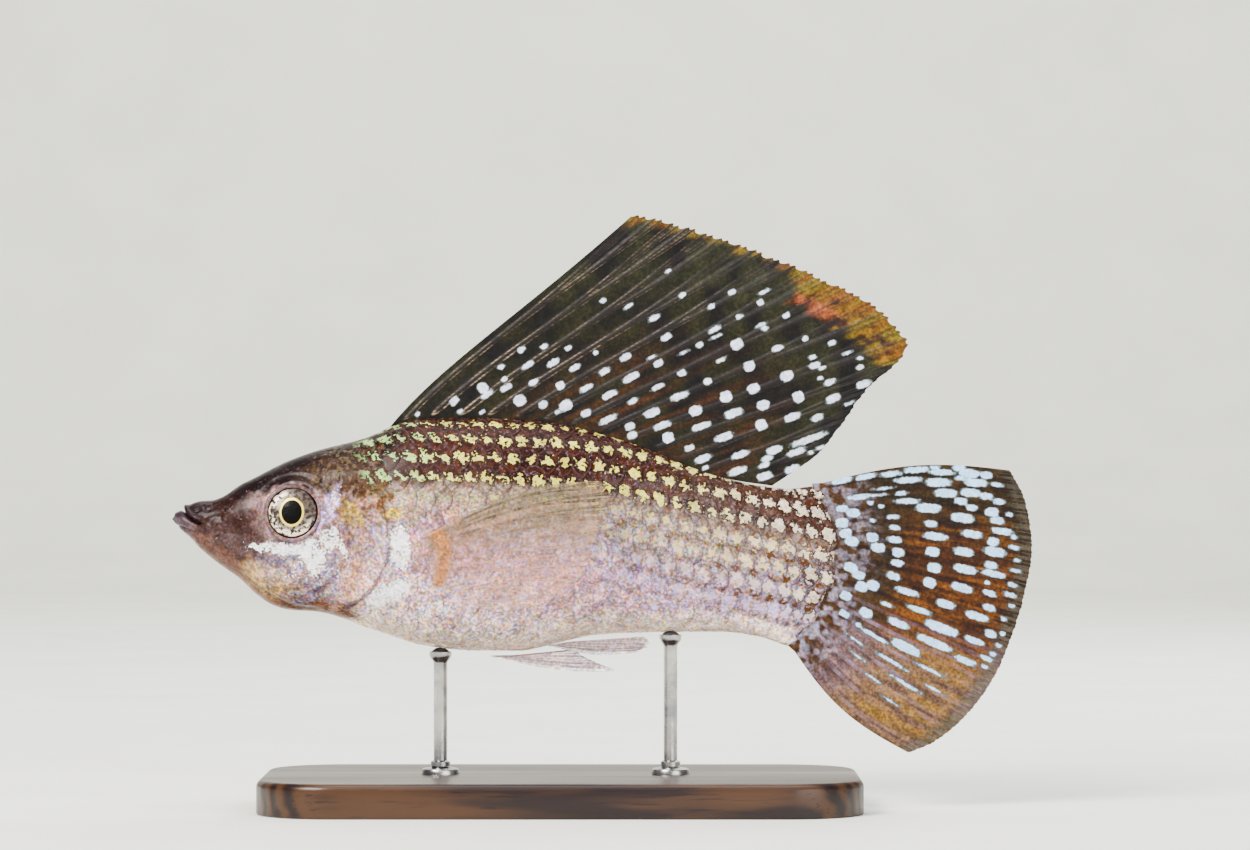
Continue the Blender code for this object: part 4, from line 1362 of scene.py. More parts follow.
class EyeSeat:
    """Where the left eye sits, and the opening and rim round it."""

    AT = (14.5, 0.8)
    FORWARD = 6.0
    UP = 9.0
    LIFT = 0.1
    RADIUS = 3.05
    OPENING = 2.9
    FLOOR = -1.3
    RIM = 0.26
    NEAR = (6.0, 4.0)

    def __init__(self, form: BodyForm) -> None:
        """Find the eye's axis from the side of the head.

        Args:
            form: the body's form.
        """
        u, v = self.AT
        self.centre = Vector((u, -(float(form.half_width(u, v)) + self.LIFT), v))
        turn = Matrix.Rotation(math.radians(90), 3, "X")
        forward = Matrix.Rotation(math.radians(-self.FORWARD), 3, "Z")
        up = Matrix.Rotation(math.radians(-self.UP), 3, "X")
        self.axes = np.array(forward @ up @ turn)

    def local(self, places: Array) -> Array:
        """Places measured from the eye, with the third part outward."""
        return (places - np.array(self.centre)) @ self.axes

    def world(self, local: Array) -> Array:
        """Places on the fish from places measured from the eye."""
        return local @ self.axes.T + np.array(self.centre)

    def open_socket(self, places: Array) -> Array:
        """Sink the skin behind the eyeball.

        Args:
            places: rows of u, y and v of the left skin.

        Returns:
            The same places, moved where the eye is.
        """
        local = self.local(places)
        radius = np.hypot(local[..., 0], local[..., 1])
        near = (radius < self.NEAR[0]) & (np.abs(local[..., 2]) < self.NEAR[1])
        sunk = ease(self.OPENING + 0.32, self.OPENING - 0.1, radius)
        swell = 0.16 * np.exp(-((radius - 3.7) / 0.5) ** 2) - 0.08 * np.exp(-((radius - 4.6) / 0.35) ** 2)
        height = (local[..., 2] + swell) * (1 - sunk) + self.FLOOR * sunk
        local[..., 2] = np.where(near, height, local[..., 2])
        return np.where(near[..., None], self.world(local), places)

    def rim(self, sides: int = 10, turns: int = 96) -> tuple[Array, Array]:
        """The soft ring of skin round the eyeball.

        Args:
            sides: points round the ring's own section.
            turns: sections round the eye.

        Returns:
            Places and faces of the ring.
        """
        a = np.linspace(0, math.tau, turns, endpoint=False)[:, None]
        b = np.linspace(0, math.tau, sides, endpoint=False)[None, :]
        middle = self.OPENING + self.RIM * 0.9 + 0.05 * np.sin(3 * a + 0.7)
        reach = middle + self.RIM * np.cos(b)
        height = 0.06 + self.RIM * 0.75 * np.sin(b) + 0 * a
        local = np.stack([reach * np.cos(a), reach * np.sin(a), height], axis=-1)
        faces = grid_faces(turns + 1, sides, closed=True)
        return self.world(local), np.where(faces >= turns * sides, faces - turns * sides, faces)


# Flesh

class Skin:
    """One seamless skin over head, body, tail stalk and gill covers, on both sides."""

    NODES = ("head", "trunk", "tail_stalk", "gill_cover_left", "gill_cover_right")
    RINGS = ((0.02, 5.5, 92), (5.56, 27.0, 150), (27.8, 65.0, 34), (65.4, BodyForm.END, 30))
    COLUMNS = 146
    UNDER_SCALES = -0.16
    # Strength of the painted shade in the head's grooves and pits and of the painted light on its ridges.
    FOLD_SHADE_AND_LIGHT = 2.4
    EYE_RIM = tone(138, 104, 104)
    BAKE_SPAN = 1.04 * BodyForm.END
    BAKE_EDGE = 0.02

    def __init__(self, form: BodyForm, skin_map: SkinMap, markings: BodyMarkings, seat: EyeSeat) -> None:
        """Keep what the skin is shaped and coloured by."""
        self.form, self.map, self.markings, self.seat = form, skin_map, markings, seat
        self.relief = HeadRelief()

    def half(self) -> tuple[Array, Array, Array, Array]:
        """The left half of the skin.

        Returns:
            Places by ring and column, ring positions, distances below the back along the skin, and the height
            of the folds.
        """
        u = np.concatenate([np.linspace(*span) for span in self.RINGS])
        places, arcs = self.form.half_rings(u, self.COLUMNS)
        normals = grid_normals(places)
        relief = self.relief.lift(places)
        lift = relief + self.UNDER_SCALES * ease(24.0, 28.0, places[..., 0])
        lift *= ease(0.0, 0.5, u)[:, None]
        places = places + normals * lift[..., None]
        places = self.seat.open_socket(places)
        places[:, (0, -1), 1] = 0.0
        return places, u, arcs, relief

    def bake_place(self, u: Array, arc: Array, sign: float) -> Array:
        """Place on the flat unwrap of the skin, with the back along its middle."""
        return np.stack([self.BAKE_EDGE + u / self.BAKE_SPAN, 0.5 + sign * arc / self.BAKE_SPAN], axis=-1)

    def build(self, material: bpy.types.Material) -> bpy.types.Object:
        """Make the skin.

        Args:
            material: its finish.

        Returns:
            The skin's object.
        """
        places, u, arcs, lift = self.half()
        rings = np.broadcast_to(u[:, None], arcs.shape)
        below = self.map.distance(rings, arcs)
        whole = np.concatenate([places[:, ::-1] * (1, -1, 1), places[:, 1:]], axis=1)
        below, arcs, rings, lift = (np.concatenate([grid[:, ::-1], grid[:, 1:]], axis=1)
                                    for grid in (below, arcs, rings, lift))
        sign = np.where(np.arange(whole.shape[1]) < self.COLUMNS, 1.0, -1.0)[None, :]
        left = whole * (1, -1, 1)
        painted = np.where(whole[..., 1:2] > 0, left, whole)
        paint = self.markings.colour(painted, below)
        # Painted shade and light from the relief: the colour is darkened in the head's grooves and pits and
        # lightened on its ridges and raised edges.
        paint[..., :3] *= np.clip(1 + self.FOLD_SHADE_AND_LIGHT * lift, 0.3, 1.3)[..., None]
        values = {"paint": paint, "masks": self.markings.masks(painted, below),
                  "white": self.markings.white(painted), "scale_count": ScaleLayout.count(rings, below),
                  BAKE_MAP: self.bake_place(rings, arcs, sign)}
        piece = PieceMesh("skin")
        rows, columns = whole.shape[:2]
        faces = grid_faces(rows, columns).tolist()
        faces += [list(range(columns - 1)), list(range((rows - 1) * columns, rows * columns - 1))[::-1]]
        piece.add(whole, faces, values)
        for side in Side:
            self.add_rim(piece, side)
        skin = piece.make(material, weld=True)
        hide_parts(*self.NODES)
        return skin

    def add_rim(self, piece: PieceMesh, side: Side) -> None:
        """Add the ring of skin round one eye.

        Args:
            piece: the mesh that it is added to.
            side: the side of the head.
        """
        ring, faces = self.seat.rim()
        flat = ring.reshape(-1, 3)
        below = np.zeros(len(flat))
        paint = self.markings.colour(flat, below)
        paint[:, :3] = blend(paint[:, :3], self.EYE_RIM, 0.55)
        bake = self.bake_place(flat[:, 0], 11.0 - flat[:, 2], float(side.value))
        values = {"paint": paint, "masks": self.markings.masks(flat, below) * (0, 0, 0.6, 0),
                  "white": 0 * below, "scale_count": ScaleLayout.count(flat[:, 0], below), BAKE_MAP: bake}
        mirrored = flat * (1, 1 if side is Side.LEFT else -1, 1)
        piece.add(mirrored, faces, values)


class ScaleCoat:
    """Overlapping scales on one side of the body, each a thin domed plate."""

    HALF_LENGTH = 1.55
    HALF_HEIGHT = 1.82
    TILT = 0.075
    LIFT = -0.01
    DOME = 0.05
    SKIRT = 0.13
    RIPPLE = 0.035
    TWIST = 0.05
    LEAN = 0.03
    RINGS = (0.0, 0.32, 0.6, 0.8, 0.93, 1.0, 1.0)
    TURNS = 26
    LAST = 77.4
    START_LINE = ((-14.0, 19.5), (-12.3, 20.8), (-10.6, 22.6), (-8.6, 25.0), (-6.0, 26.6), (-3.0, 27.2),
                  (0.0, 27.0), (2.6, 26.5), (4.6, 25.0), (8.0, 23.2), (12.0, 22.0))
    ROWS = range(-9, 14)
    NUMBERS = range(-3, 30)
    RIDGE_NUMBERS = range(-3, 56)
    RIDGE_STARTS = {0.0: 23.0, 1.0: 20.5}
    RIDGE_GAP = 0.55
    BAKE_SIZE = 0.003

    def __init__(self, skin: Skin, side: Side) -> None:
        """Prepare one side's coat, with its own fixed chance values."""
        self.skin, self.map, self.side = skin, skin.map, side
        self.chance = np.random.default_rng(31)

    def roots(self) -> tuple[Array, Array]:
        """Centres of the scales.

        Returns:
            Place along the body and distance below the lateral row, for each scale.
        """
        start = Columns(self.START_LINE)
        along, below = [], []
        pitch, row_height = ScaleLayout.PITCH, ScaleLayout.ROW
        for row in self.ROWS:
            for number in self.NUMBERS:
                u = ScaleLayout.FIRST + (number + 0.5 * (row % 2) - ScaleLayout.VISIBLE) * pitch
                distance = row * row_height
                if not self.map.u[0] < u < self.LAST:
                    continue
                zero, length = self.map.span(u)
                from_back = distance + zero
                if min(from_back, length - from_back) < self.RIDGE_GAP * row_height:
                    continue
                place, _, _ = self.map.locate(np.array([u]), np.array([distance]))
                if place[0, 0] < start(place[0, 2])[0]:
                    continue
                along.append(u)
                below.append(distance)
        if self.side is Side.LEFT:
            for ridge, first in self.RIDGE_STARTS.items():
                for number in self.RIDGE_NUMBERS:
                    u = ScaleLayout.FIRST + (number / 2 - ScaleLayout.VISIBLE) * pitch
                    zero, length = self.map.span(u)
                    if first < u < self.LAST:
                        along.append(u)
                        below.append(ridge * length - zero)
        return np.array(along), np.array(below)

    def build(self, material: bpy.types.Material) -> bpy.types.Object:
        """Make the coat.

        Args:
            material: its finish.

        Returns:
            The coat's object.
        """
        along, below = self.roots()
        count = len(along)
        rings = np.array(self.RINGS)
        turns = np.linspace(0, math.tau, self.TURNS, endpoint=False)
        ripple = 1 + self.RIPPLE * self.chance.standard_normal((count, 1, 3)) @ np.stack(
            [np.cos(2 * turns), np.sin(3 * turns), np.cos(5 * turns)])[None]
        reach = rings[None, :, None] * ripple
        x = self.HALF_LENGTH * reach * np.cos(turns)
        y = self.HALF_HEIGHT * reach * np.sin(turns)
        twist = self.TWIST * self.chance.standard_normal((count, 1, 1))
        tilt = self.LEAN * self.chance.standard_normal((count, 1, 1))
        lift = self.LIFT + self.TILT * x + tilt * y + self.DOME * (1 - rings[None, :, None] ** 2)
        lift[:, -1, :] -= self.SKIRT
        u = along[:, None, None] + x - twist * y
        distance = below[:, None, None] + y + twist * x
        places, normals, share = self.map.locate(u, distance)
        places = places + normals * lift[..., None]
        zero, length = self.map.span(u)
        folded = share * length - zero
        painted = places * (1, -1, 1)
        painted = np.where(places[..., 1:2] > 0, painted, places)
        # A random painted sheen for each scale, lighter or darker, that the scales' finish multiplies into
        # its colour.
        _, scale_sheen = self.chance.random((2, count, 1, 1))
        root_arc = below + self.map.span(along)[0]
        root_bake = self.skin.bake_place(along, root_arc, float(self.side.value))
        offset = np.stack([x / self.HALF_LENGTH, y / self.HALF_HEIGHT], axis=-1) * self.BAKE_SIZE / 2
        values = {
            "paint": self.skin.markings.colour(painted, folded),
            "masks": self.skin.markings.masks(painted, folded),
            "white": self.skin.markings.white(painted),
            "scale_count": ScaleLayout.count(u, distance),
            "edge": np.broadcast_to(rings[None, :, None], u.shape),
            "chance": np.broadcast_to(scale_sheen, u.shape),
            BAKE_MAP: root_bake[:, None, None, :] + offset,
        }
        if self.side is Side.RIGHT:
            places = places * (1, -1, 1)
        total = places[0].shape[0] * self.TURNS
        plate = grid_faces(len(rings), self.TURNS, closed=True)
        if self.side is Side.RIGHT:
            plate = plate[:, ::-1]
        faces = (np.arange(count)[:, None, None] * total + plate[None]).reshape(-1, 4)
        piece = PieceMesh(f"scales_{self.side.name.lower()}")
        piece.add(places, faces, values)
        coat = piece.make(material)
        return coat


class Eyes:
    """The two eyeballs."""

    DOME = 0.85
    DEPTH = 1.6
    BAKE_SPAN = 2.2
    RINGS = 36
    TURNS = 72

    def __init__(self, seat: EyeSeat) -> None:
        """Keep where the eyes sit."""
        self.seat = seat

    def build(self, side: Side, material: bpy.types.Material) -> bpy.types.Object:
        """Make one eyeball with a flatter iris under its dome.

        Args:
            side: the side of the head.
            material: its finish.

        Returns:
            The eyeball's object.
        """
        radius = self.seat.RADIUS
        a = np.linspace(0.0, math.pi, self.RINGS)[:, None]
        b = np.linspace(0, math.tau, self.TURNS, endpoint=False)[None, :]
        reach = radius * np.sin(a)
        height = np.where(a < math.pi / 2, self.DOME, self.DEPTH) * np.cos(a) + 0 * b
        local = np.stack([reach * np.cos(b), reach * np.sin(b), height], axis=-1)
        places = self.seat.world(local)
        if side is Side.RIGHT:
            places = places * (1, -1, 1)
        bake = local[..., :2] / (self.BAKE_SPAN * radius) + 0.5
        piece = PieceMesh(f"eyeball_{side.name.lower()}")
        piece.add(places, grid_faces(self.RINGS, self.TURNS, closed=True), {"iris": local, BAKE_MAP: bake})
        eye = piece.make(material, weld=True)
        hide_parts(f"eye_{side.name.lower()}")
        return eye


# Fins

@dataclass(frozen=True)
class SpotGroup:
    """Spots of about one size, each at a gap number between rays and a level along them."""

    size: Pair
    places: tuple[Pair, ...]

    def spots(self, chance: np.random.Generator) -> list[tuple[float, float, float, float]]:
        """Gap number, level, half length and half width of each spot.

        Args:
            chance: source of the chance values.

        Returns:
            One row for each spot.
        """
        rows = []
        for gap, level in self.places:
            long, wide = chance.random(2)
            half = (size * (0.88 + 0.24 * share) for size, share in zip(self.size, (long, wide)))
            rows.append((gap, level, *half))
        return rows


@dataclass
class RayedFin:
    """A thin fin between a root curve and a margin curve, with branched rays raised on both faces."""

    name: str
    nodes: tuple[str, ...]
    slot: str
    root: tuple[Pair, ...]
    margin: tuple[Pair, ...]
    rays: int
    rows: int = 110
    per_ray: int = 18
    membrane: float = 0.26
    ridge: float = 0.13
    ray_width: float = 0.17
    sink: float = 0.03
    fringe: float = 0.010
    forks: Pair = (0.36, 0.62)
    spread: Pair = (0.23, 0.09)
    spots: tuple[SpotGroup, ...] = ()
    seed: int = 1
    across: tuple[float, float, float] = (0.0, 1.0, 0.0)

    BAKE_MARGIN = 1.05
    TIP_THIN = 0.55
    OVAL_POWER = 2.8

    def __post_init__(self) -> None:
        """Lay the two curves."""
        self.root_line = Path(self.root, 2 if len(self.root) == 2 else 12)
        self.margin_line = Path(self.margin)
        self.cell = 1 / (self.rays - 1 + 0.9)
        self.drift = SoftNoise(self.seed)

    def bow(self, s: Array, t: Array) -> Array:
        """How far the first and last edges bow out."""
        return np.zeros(s.shape + (2,))

    def aside(self, s: Array, t: Array) -> Array:
        """Sideways place of the fin's middle surface."""
        return np.zeros_like(s)

    def root_thickness(self, s: Array) -> Array:
        """Thickness where the fin grows out of the body."""
        return np.full_like(s, 0.9)

    def colour(self, s: Array, t: Array, places: Array) -> Array:
        """Membrane colour with its opacity."""
        raise NotImplementedError

    def ray_colour(self, s: Array, t: Array) -> Array:
        """Colour of the fine lines beside the rays, with their strength."""
        raise NotImplementedError

    def streaks(self, s: Array, t: Array, across: float, along: float, shift: float = 0.0) -> Array:
        """Random field drawn out along the rays, with so many blotches across and along the fin."""
        return self.drift(np.stack([s * across, t * along, s * 0], axis=-1) + shift, 1.0)

    def place(self, s: Array, t: Array) -> Array:
        """Places of the fin's middle surface.

        Args:
            s: share of the way across the fin.
            t: share of the way out along the rays.

        Returns:
            Rows of u, y and v.
        """
        flat = self.root_line(s) * (1 - t[..., None]) + self.margin_line(s) * t[..., None]
        flat = flat + self.bow(s, t)
        return np.stack([flat[..., 0], self.aside(s, np.maximum(t, 0)), flat[..., 1]], axis=-1)

    def ray_height(self, s: Array, t: Array) -> Array:
        """How far the rays stand out, from 0 on the membrane to 1.

        Args:
            s: share of the way across the fin.
            t: share of the way out along the rays.

        Returns:
            One height for each place.
        """
        height = np.zeros_like(s)
        first = self.spread[0] * self.cell * ease(self.forks[0], 1.0, t)
        second = self.spread[1] * self.cell * ease(self.forks[1], 1.0, t)
        width = self.ray_width * self.cell * (1 - 0.58 * ease(0.1, 0.9, t))
        for ray in range(self.rays):
            centre = (ray + 0.45) * self.cell
            for way in (-1, 1):
                for twig in (-1, 1):
                    middle = centre + way * first + twig * second
                    height = np.maximum(height, np.exp(-((s - middle) / width) ** 2))
        return height * ease(-0.02, 0.04, t)

    def spot_distance(self, places: Array) -> Array:
        """Distance outside the nearest spot's edge, less than 0 inside it.

        Args:
            places: rows of u, y and v.

        Returns:
            One distance in millimetres for each place.
        """
        nearest = np.full(places.shape[:-1], 2.0)
        chance = np.random.default_rng(self.seed)
        for group in self.spots:
            for gap, level, long, wide in group.spots(chance):
                s = np.array([(gap + 0.45) * self.cell] * 2)
                ends = self.place(np.clip(s, 0, 1), np.array([level - 0.02, level + 0.02]))[:, (0, 2)]
                way = (ends[1] - ends[0]) / np.linalg.norm(ends[1] - ends[0])
                away = places[..., (0, 2)] - ends.mean(axis=0)
                along, across = away @ way, away @ np.array((-way[1], way[0]))
                power = self.OVAL_POWER
                oval = (np.abs(along / long) ** power + np.abs(across / wide) ** power) ** (1 / power) - 1
                nearest = np.minimum(nearest, oval * min(long, wide))
        return nearest

    def build(self, material: bpy.types.Material, side: Side = Side.LEFT) -> bpy.types.Object:
        """Make the fin.

        Args:
            material: its finish.
            side: RIGHT for the mirrored copy of a paired fin.

        Returns:
            The fin's object.
        """
        columns = self.rays * self.per_ray + 1
        s, t = np.meshgrid(np.linspace(0, 1, columns), np.linspace(-self.sink, 1, self.rows))
        ray = self.ray_height(s, t)
        tip = self.fringe * (ray * 1.6 - 0.8 + 0.7 * self.streaks(s / self.cell, t, 3, 2))
        reach = t * (1 + tip * ease(0.9, 1.0, t))
        middle = self.place(s, reach)
        extra = (self.root_thickness(s) - self.membrane) * (1 - ease(-0.02, 0.35, t))
        half = (self.membrane + extra) / 2 + self.ridge * ray
        half = half * (1 - self.TIP_THIN * ease(0.93, 1.0, t))
        across = np.array(self.across) / np.linalg.norm(self.across)
        faces_out = [middle - across * half[..., None], middle + across * half[..., None]]
        ring = np.concatenate([faces_out[0], faces_out[1][:, ::-1]], axis=1)
        lengths = np.linalg.norm(self.margin_line(s) - self.root_line(s), axis=-1)
        station = np.stack([s / self.cell, t * lengths, 0 * t], axis=-1)
        low, high = middle.reshape(-1, 3).min(axis=0), middle.reshape(-1, 3).max(axis=0)
        span = max(high[0] - low[0], 2.1 * (high[2] - low[2])) * self.BAKE_MARGIN
        flat = np.stack([(middle[..., 0] - low[0]) / span, (middle[..., 2] - low[2]) / span], axis=-1) + 0.01
        values = {"paint": self.colour(s, t, middle), "ray": ray, "ray_paint": self.ray_colour(s, t),
                  "spot": self.spot_distance(middle), "station": station}
        values = {key: np.concatenate([grid, grid[:, ::-1]], axis=1) for key, grid in values.items()}
        values[BAKE_MAP] = np.concatenate([flat, flat[:, ::-1] + (0, 0.5)], axis=1)
        rows, width = ring.shape[:2]
        faces = grid_faces(rows, width, closed=True).tolist()
        for first in (0, (rows - 1) * width):
            faces += [[first + i, first + i + 1, first + width - 2 - i, first + width - 1 - i]
                      for i in range(width // 2 - 1)]
        name = f"{self.name}_{side.name.lower()}" if len(self.nodes) > 1 else self.name
        piece = PieceMesh(name)
        if side is Side.RIGHT:
            ring = ring * (1, -1, 1)
        piece.add(ring, faces, values)
        fin = piece.make(material, weld=True)
        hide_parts(*[node for node in self.nodes if len(self.nodes) == 1 or side.name.lower() in node])
        return fin


class DorsalSail(RayedFin):
    """The tall sail on the back."""

    GOLD_EDGE = ((0.0, 0.03, 0.08, 0.36, 0.42, 0.56, 0.66, 0.71),
                 (0.95, 0.97, 0.988, 0.985, 0.87, 0.86, 0.90, 1.2))

    def bow(self, s: Array, t: Array) -> Array:
        """Bow the leading edge forward and up over its lower part."""
        swell = 4.2 * t * (1 - t) ** 3 * (1 - s) ** 3
        return np.stack([-swell, swell], axis=-1)

    def aside(self, s: Array, t: Array) -> Array:
        """Wave the sail gently from side to side."""
        wave = 0.9 * t ** 1.5 * np.sin(math.tau * (0.9 * s + 0.1))
        return wave + 0.12 * ease(0.3, 1.0, t) * np.sin(math.tau * s / self.cell)

    def root_thickness(self, s: Array) -> Array:
        """Thicker at the front of the root."""
        return 1.1 - 0.4 * s

    def colour(self, s: Array, t: Array, places: Array) -> Array:
        """Charcoal brown, rusty near the root, olive near the top, with a gold and orange margin.

        Args:
            s: share of the way across the fin.
            t: share of the way out along the rays.
            places: rows of u, y and v.

        Returns:
            Rows of red, green, blue and opacity.
        """
        streak = self.streaks(s, t, 60, 5)
        blot = self.drift(places + 20, 2.2)
        rusty = np.clip(0.3 + 0.9 * streak, 0, 1) * ease(0.80, 0.1, t) * ease(0.15, 0.5, s)
        base = blend(tone(30, 25, 22), tone(44, 42, 26), np.clip(0.5 + blot, 0, 1))
        base = blend(base, tone(76, 46, 22), rusty)
        base = blend(base, tone(54, 56, 38), np.clip(0.4 + 0.9 * blot, 0, 1) * ease(0.45, 0.95, t) * 0.8)
        fray = 0.03 * self.streaks(s, t, 90, 6)
        start = np.interp(s, *self.GOLD_EDGE)
        gold = ease(-0.02, 0.025, t + fray - start)
        warm = blend(tone(138, 118, 20), tone(150, 98, 10), np.clip(0.4 + 0.9 * streak, 0, 1))
        warm = blend(warm, tone(168, 96, 56), ease(0.93, 0.88, t) * ease(0.36, 0.42, s) * ease(0.56, 0.48, s))
        brown = ease(-0.02, 0.3, self.drift(places * (0.8, 0.0, 1.3) + 50, 0.8)) * ease(0.975, 0.93, t)
        warm = blend(warm, tone(72, 38, 12), brown * 0.95)
        base = blend(base, warm, gold * (1 - 0.35 * ease(0.30, 0.0, s)))
        base = blend(base, tone(20, 18, 20), ease(0.90, 0.99, t) * ease(0.70, 0.76, s) * 0.8)
        return with_last(base, 1.0)

    def ray_colour(self, s: Array, t: Array) -> Array:
        """Cream lines near the leading edge, mauve grey ones behind, all fading toward the top; the cream
        lines are partly painted highlights on the front rays.

        Args:
            s: share of the way across the fin.
            t: share of the way out along the rays.

        Returns:
            Rows of red, green, blue and strength.
        """
        front = ease(0.45, 0.10, s)
        colours = blend(tone(122, 112, 116), tone(186, 172, 150), front)
        patchy = np.clip(0.6 + 0.8 * self.streaks(s, t, 14, 7), 0, 1)
        return with_last(colours, (0.35 + 0.65 * front) * (1 - 0.75 * ease(0.5, 0.85, t)) * patchy)


class TailFan(RayedFin):
    """The spread tail fin."""

    def bow(self, s: Array, t: Array) -> Array:
        """Bow the upper and lower edges.

        Args:
            s: share of the way across the fin.
            t: share of the way out along the rays.

        Returns:
            Shifts in u and v.
        """
        swell = np.sin(math.pi * np.clip(t, 0, 1))[..., None]
        upper = np.array((0.0, 1.3)) * ((1 - s) ** 3)[..., None]
        lower = np.array((-1.0, -0.95)) * (s ** 3)[..., None]
        return swell * (upper + lower)

    def aside(self, s: Array, t: Array) -> Array:
        """Wave the fan gently from side to side."""
        wave = 0.7 * t ** 2 * np.sin(math.tau * (0.8 * s + 0.15))
        return wave + 0.08 * ease(0.3, 1.0, t) * np.sin(math.tau * s / self.cell)

    def root_thickness(self, s: Array) -> Array:
        """Thickest in the middle of the root."""
        return 0.8 + 1.3 * np.sin(math.pi * s)

    def colour(self, s: Array, t: Array, places: Array) -> Array:
        """Rust and orange in the middle, olive brown above, mauve to golden tan below, with a dark clear rim.

        Args:
            s: share of the way across the fin.
            t: share of the way out along the rays.
            places: rows of u, y and v.

        Returns:
            Rows of red, green, blue and opacity.
        """
        streak = self.streaks(s, t, 70, 5)
        upper = blend(tone(44, 36, 22), tone(80, 56, 22), np.clip(0.4 + 0.8 * streak, 0, 1))
        bright = np.clip(0.35 + 0.9 * streak + 0.5 * (t - 0.6), 0, 1)
        middle = blend(tone(76, 44, 14), tone(140, 82, 14), bright)
        base = blend(upper, middle, ease(0.12, 0.34, s) * ease(0.2, 0.45, t))
        mauve = blend(tone(108, 80, 76), tone(152, 122, 124), np.clip(0.5 + 0.8 * streak, 0, 1))
        tan = blend(mauve, tone(158, 124, 54), ease(0.22, 0.60, t) * np.clip(0.7 + 0.7 * streak, 0, 1))
        base = blend(base, tan, ease(0.64, 0.80, s + 0.1 * t))
        mottle = np.clip(0.5 + 1.7 * self.drift(places, 0.55), 0, 1)
        root = blend(tone(84, 54, 30), tone(172, 166, 178), mottle * (0.55 + 0.35 * ease(0.45, 0.8, s)))
        base = blend(base, root, ease(0.26, 0.04, t + 0.05 * streak))
        rim = ease(0.88, 0.96, t)
        base = blend(base, tone(66, 56, 36), rim * 0.85)
        comb = 0.5 + 0.5 * np.sin(s / self.cell * math.tau * 4)
        base = blend(base, tone(138, 112, 70), rim * comb * (0.15 + 0.5 * ease(0.5, 0.7, s)))
        return with_last(base, 1 - 0.2 * rim)

    def ray_colour(self, s: Array, t: Array) -> Array:
        """Dark brown lines above, pale lilac ones in the lower lobe.

        Args:
            s: share of the way across the fin.
            t: share of the way out along the rays.

        Returns:
            Rows of red, green, blue and strength.
        """
        low = ease(0.52, 0.74, s)
        colours = blend(tone(40, 26, 14), tone(190, 170, 184), low)
        streaky = np.clip(0.5 + 1.2 * self.streaks(s, t, 30, 6, 9), 0, 1)
        strength = 0.85 * (1 - low) + low * streaky * (0.75 - 0.5 * ease(0.2, 0.7, t))
        return with_last(colours, strength)


class PaleFin(RayedFin):
    """A small pale fin under the belly."""

    def bow(self, s: Array, t: Array) -> Array:
        """Let the lower edge sag a little."""
        swell = np.sin(math.pi * np.clip(t, 0, 1)) * -0.6 * s ** 3
        return np.stack([0 * swell, swell], axis=-1)

    def colour(self, s: Array, t: Array, places: Array) -> Array:
        """Mauve white with lilac streaks and a white lower edge.

        Args:
            s: share of the way across the fin.
            t: share of the way out along the rays.
            places: rows of u, y and v; not used.

        Returns:
            Rows of red, green, blue and opacity.
        """
        streak = self.streaks(s, t, 22, 3)
        base = blend(tone(200, 188, 188), tone(172, 160, 168), np.clip(0.4 + 0.9 * streak, 0, 1))
        base = blend(base, tone(206, 140, 116), ease(0.14, 0.0, s) * ease(0.5, 0.1, t) * 0.7)
        base = blend(base, tone(240, 236, 238), ease(0.82, 0.95, s))
        return with_last(base, 0.94)

    def ray_colour(self, s: Array, t: Array) -> Array:
        """White lines."""
        return np.broadcast_to(np.array((*tone(224, 218, 218), 0.9)), s.shape + (4,))


class PelvicFin(PaleFin):
    """One of the two pelvic fins, close under the belly."""

    def aside(self, s: Array, t: Array) -> Array:
        """Stand clear of the middle plane."""
        return -(1.25 + 0.35 * s + 0.3 * t)


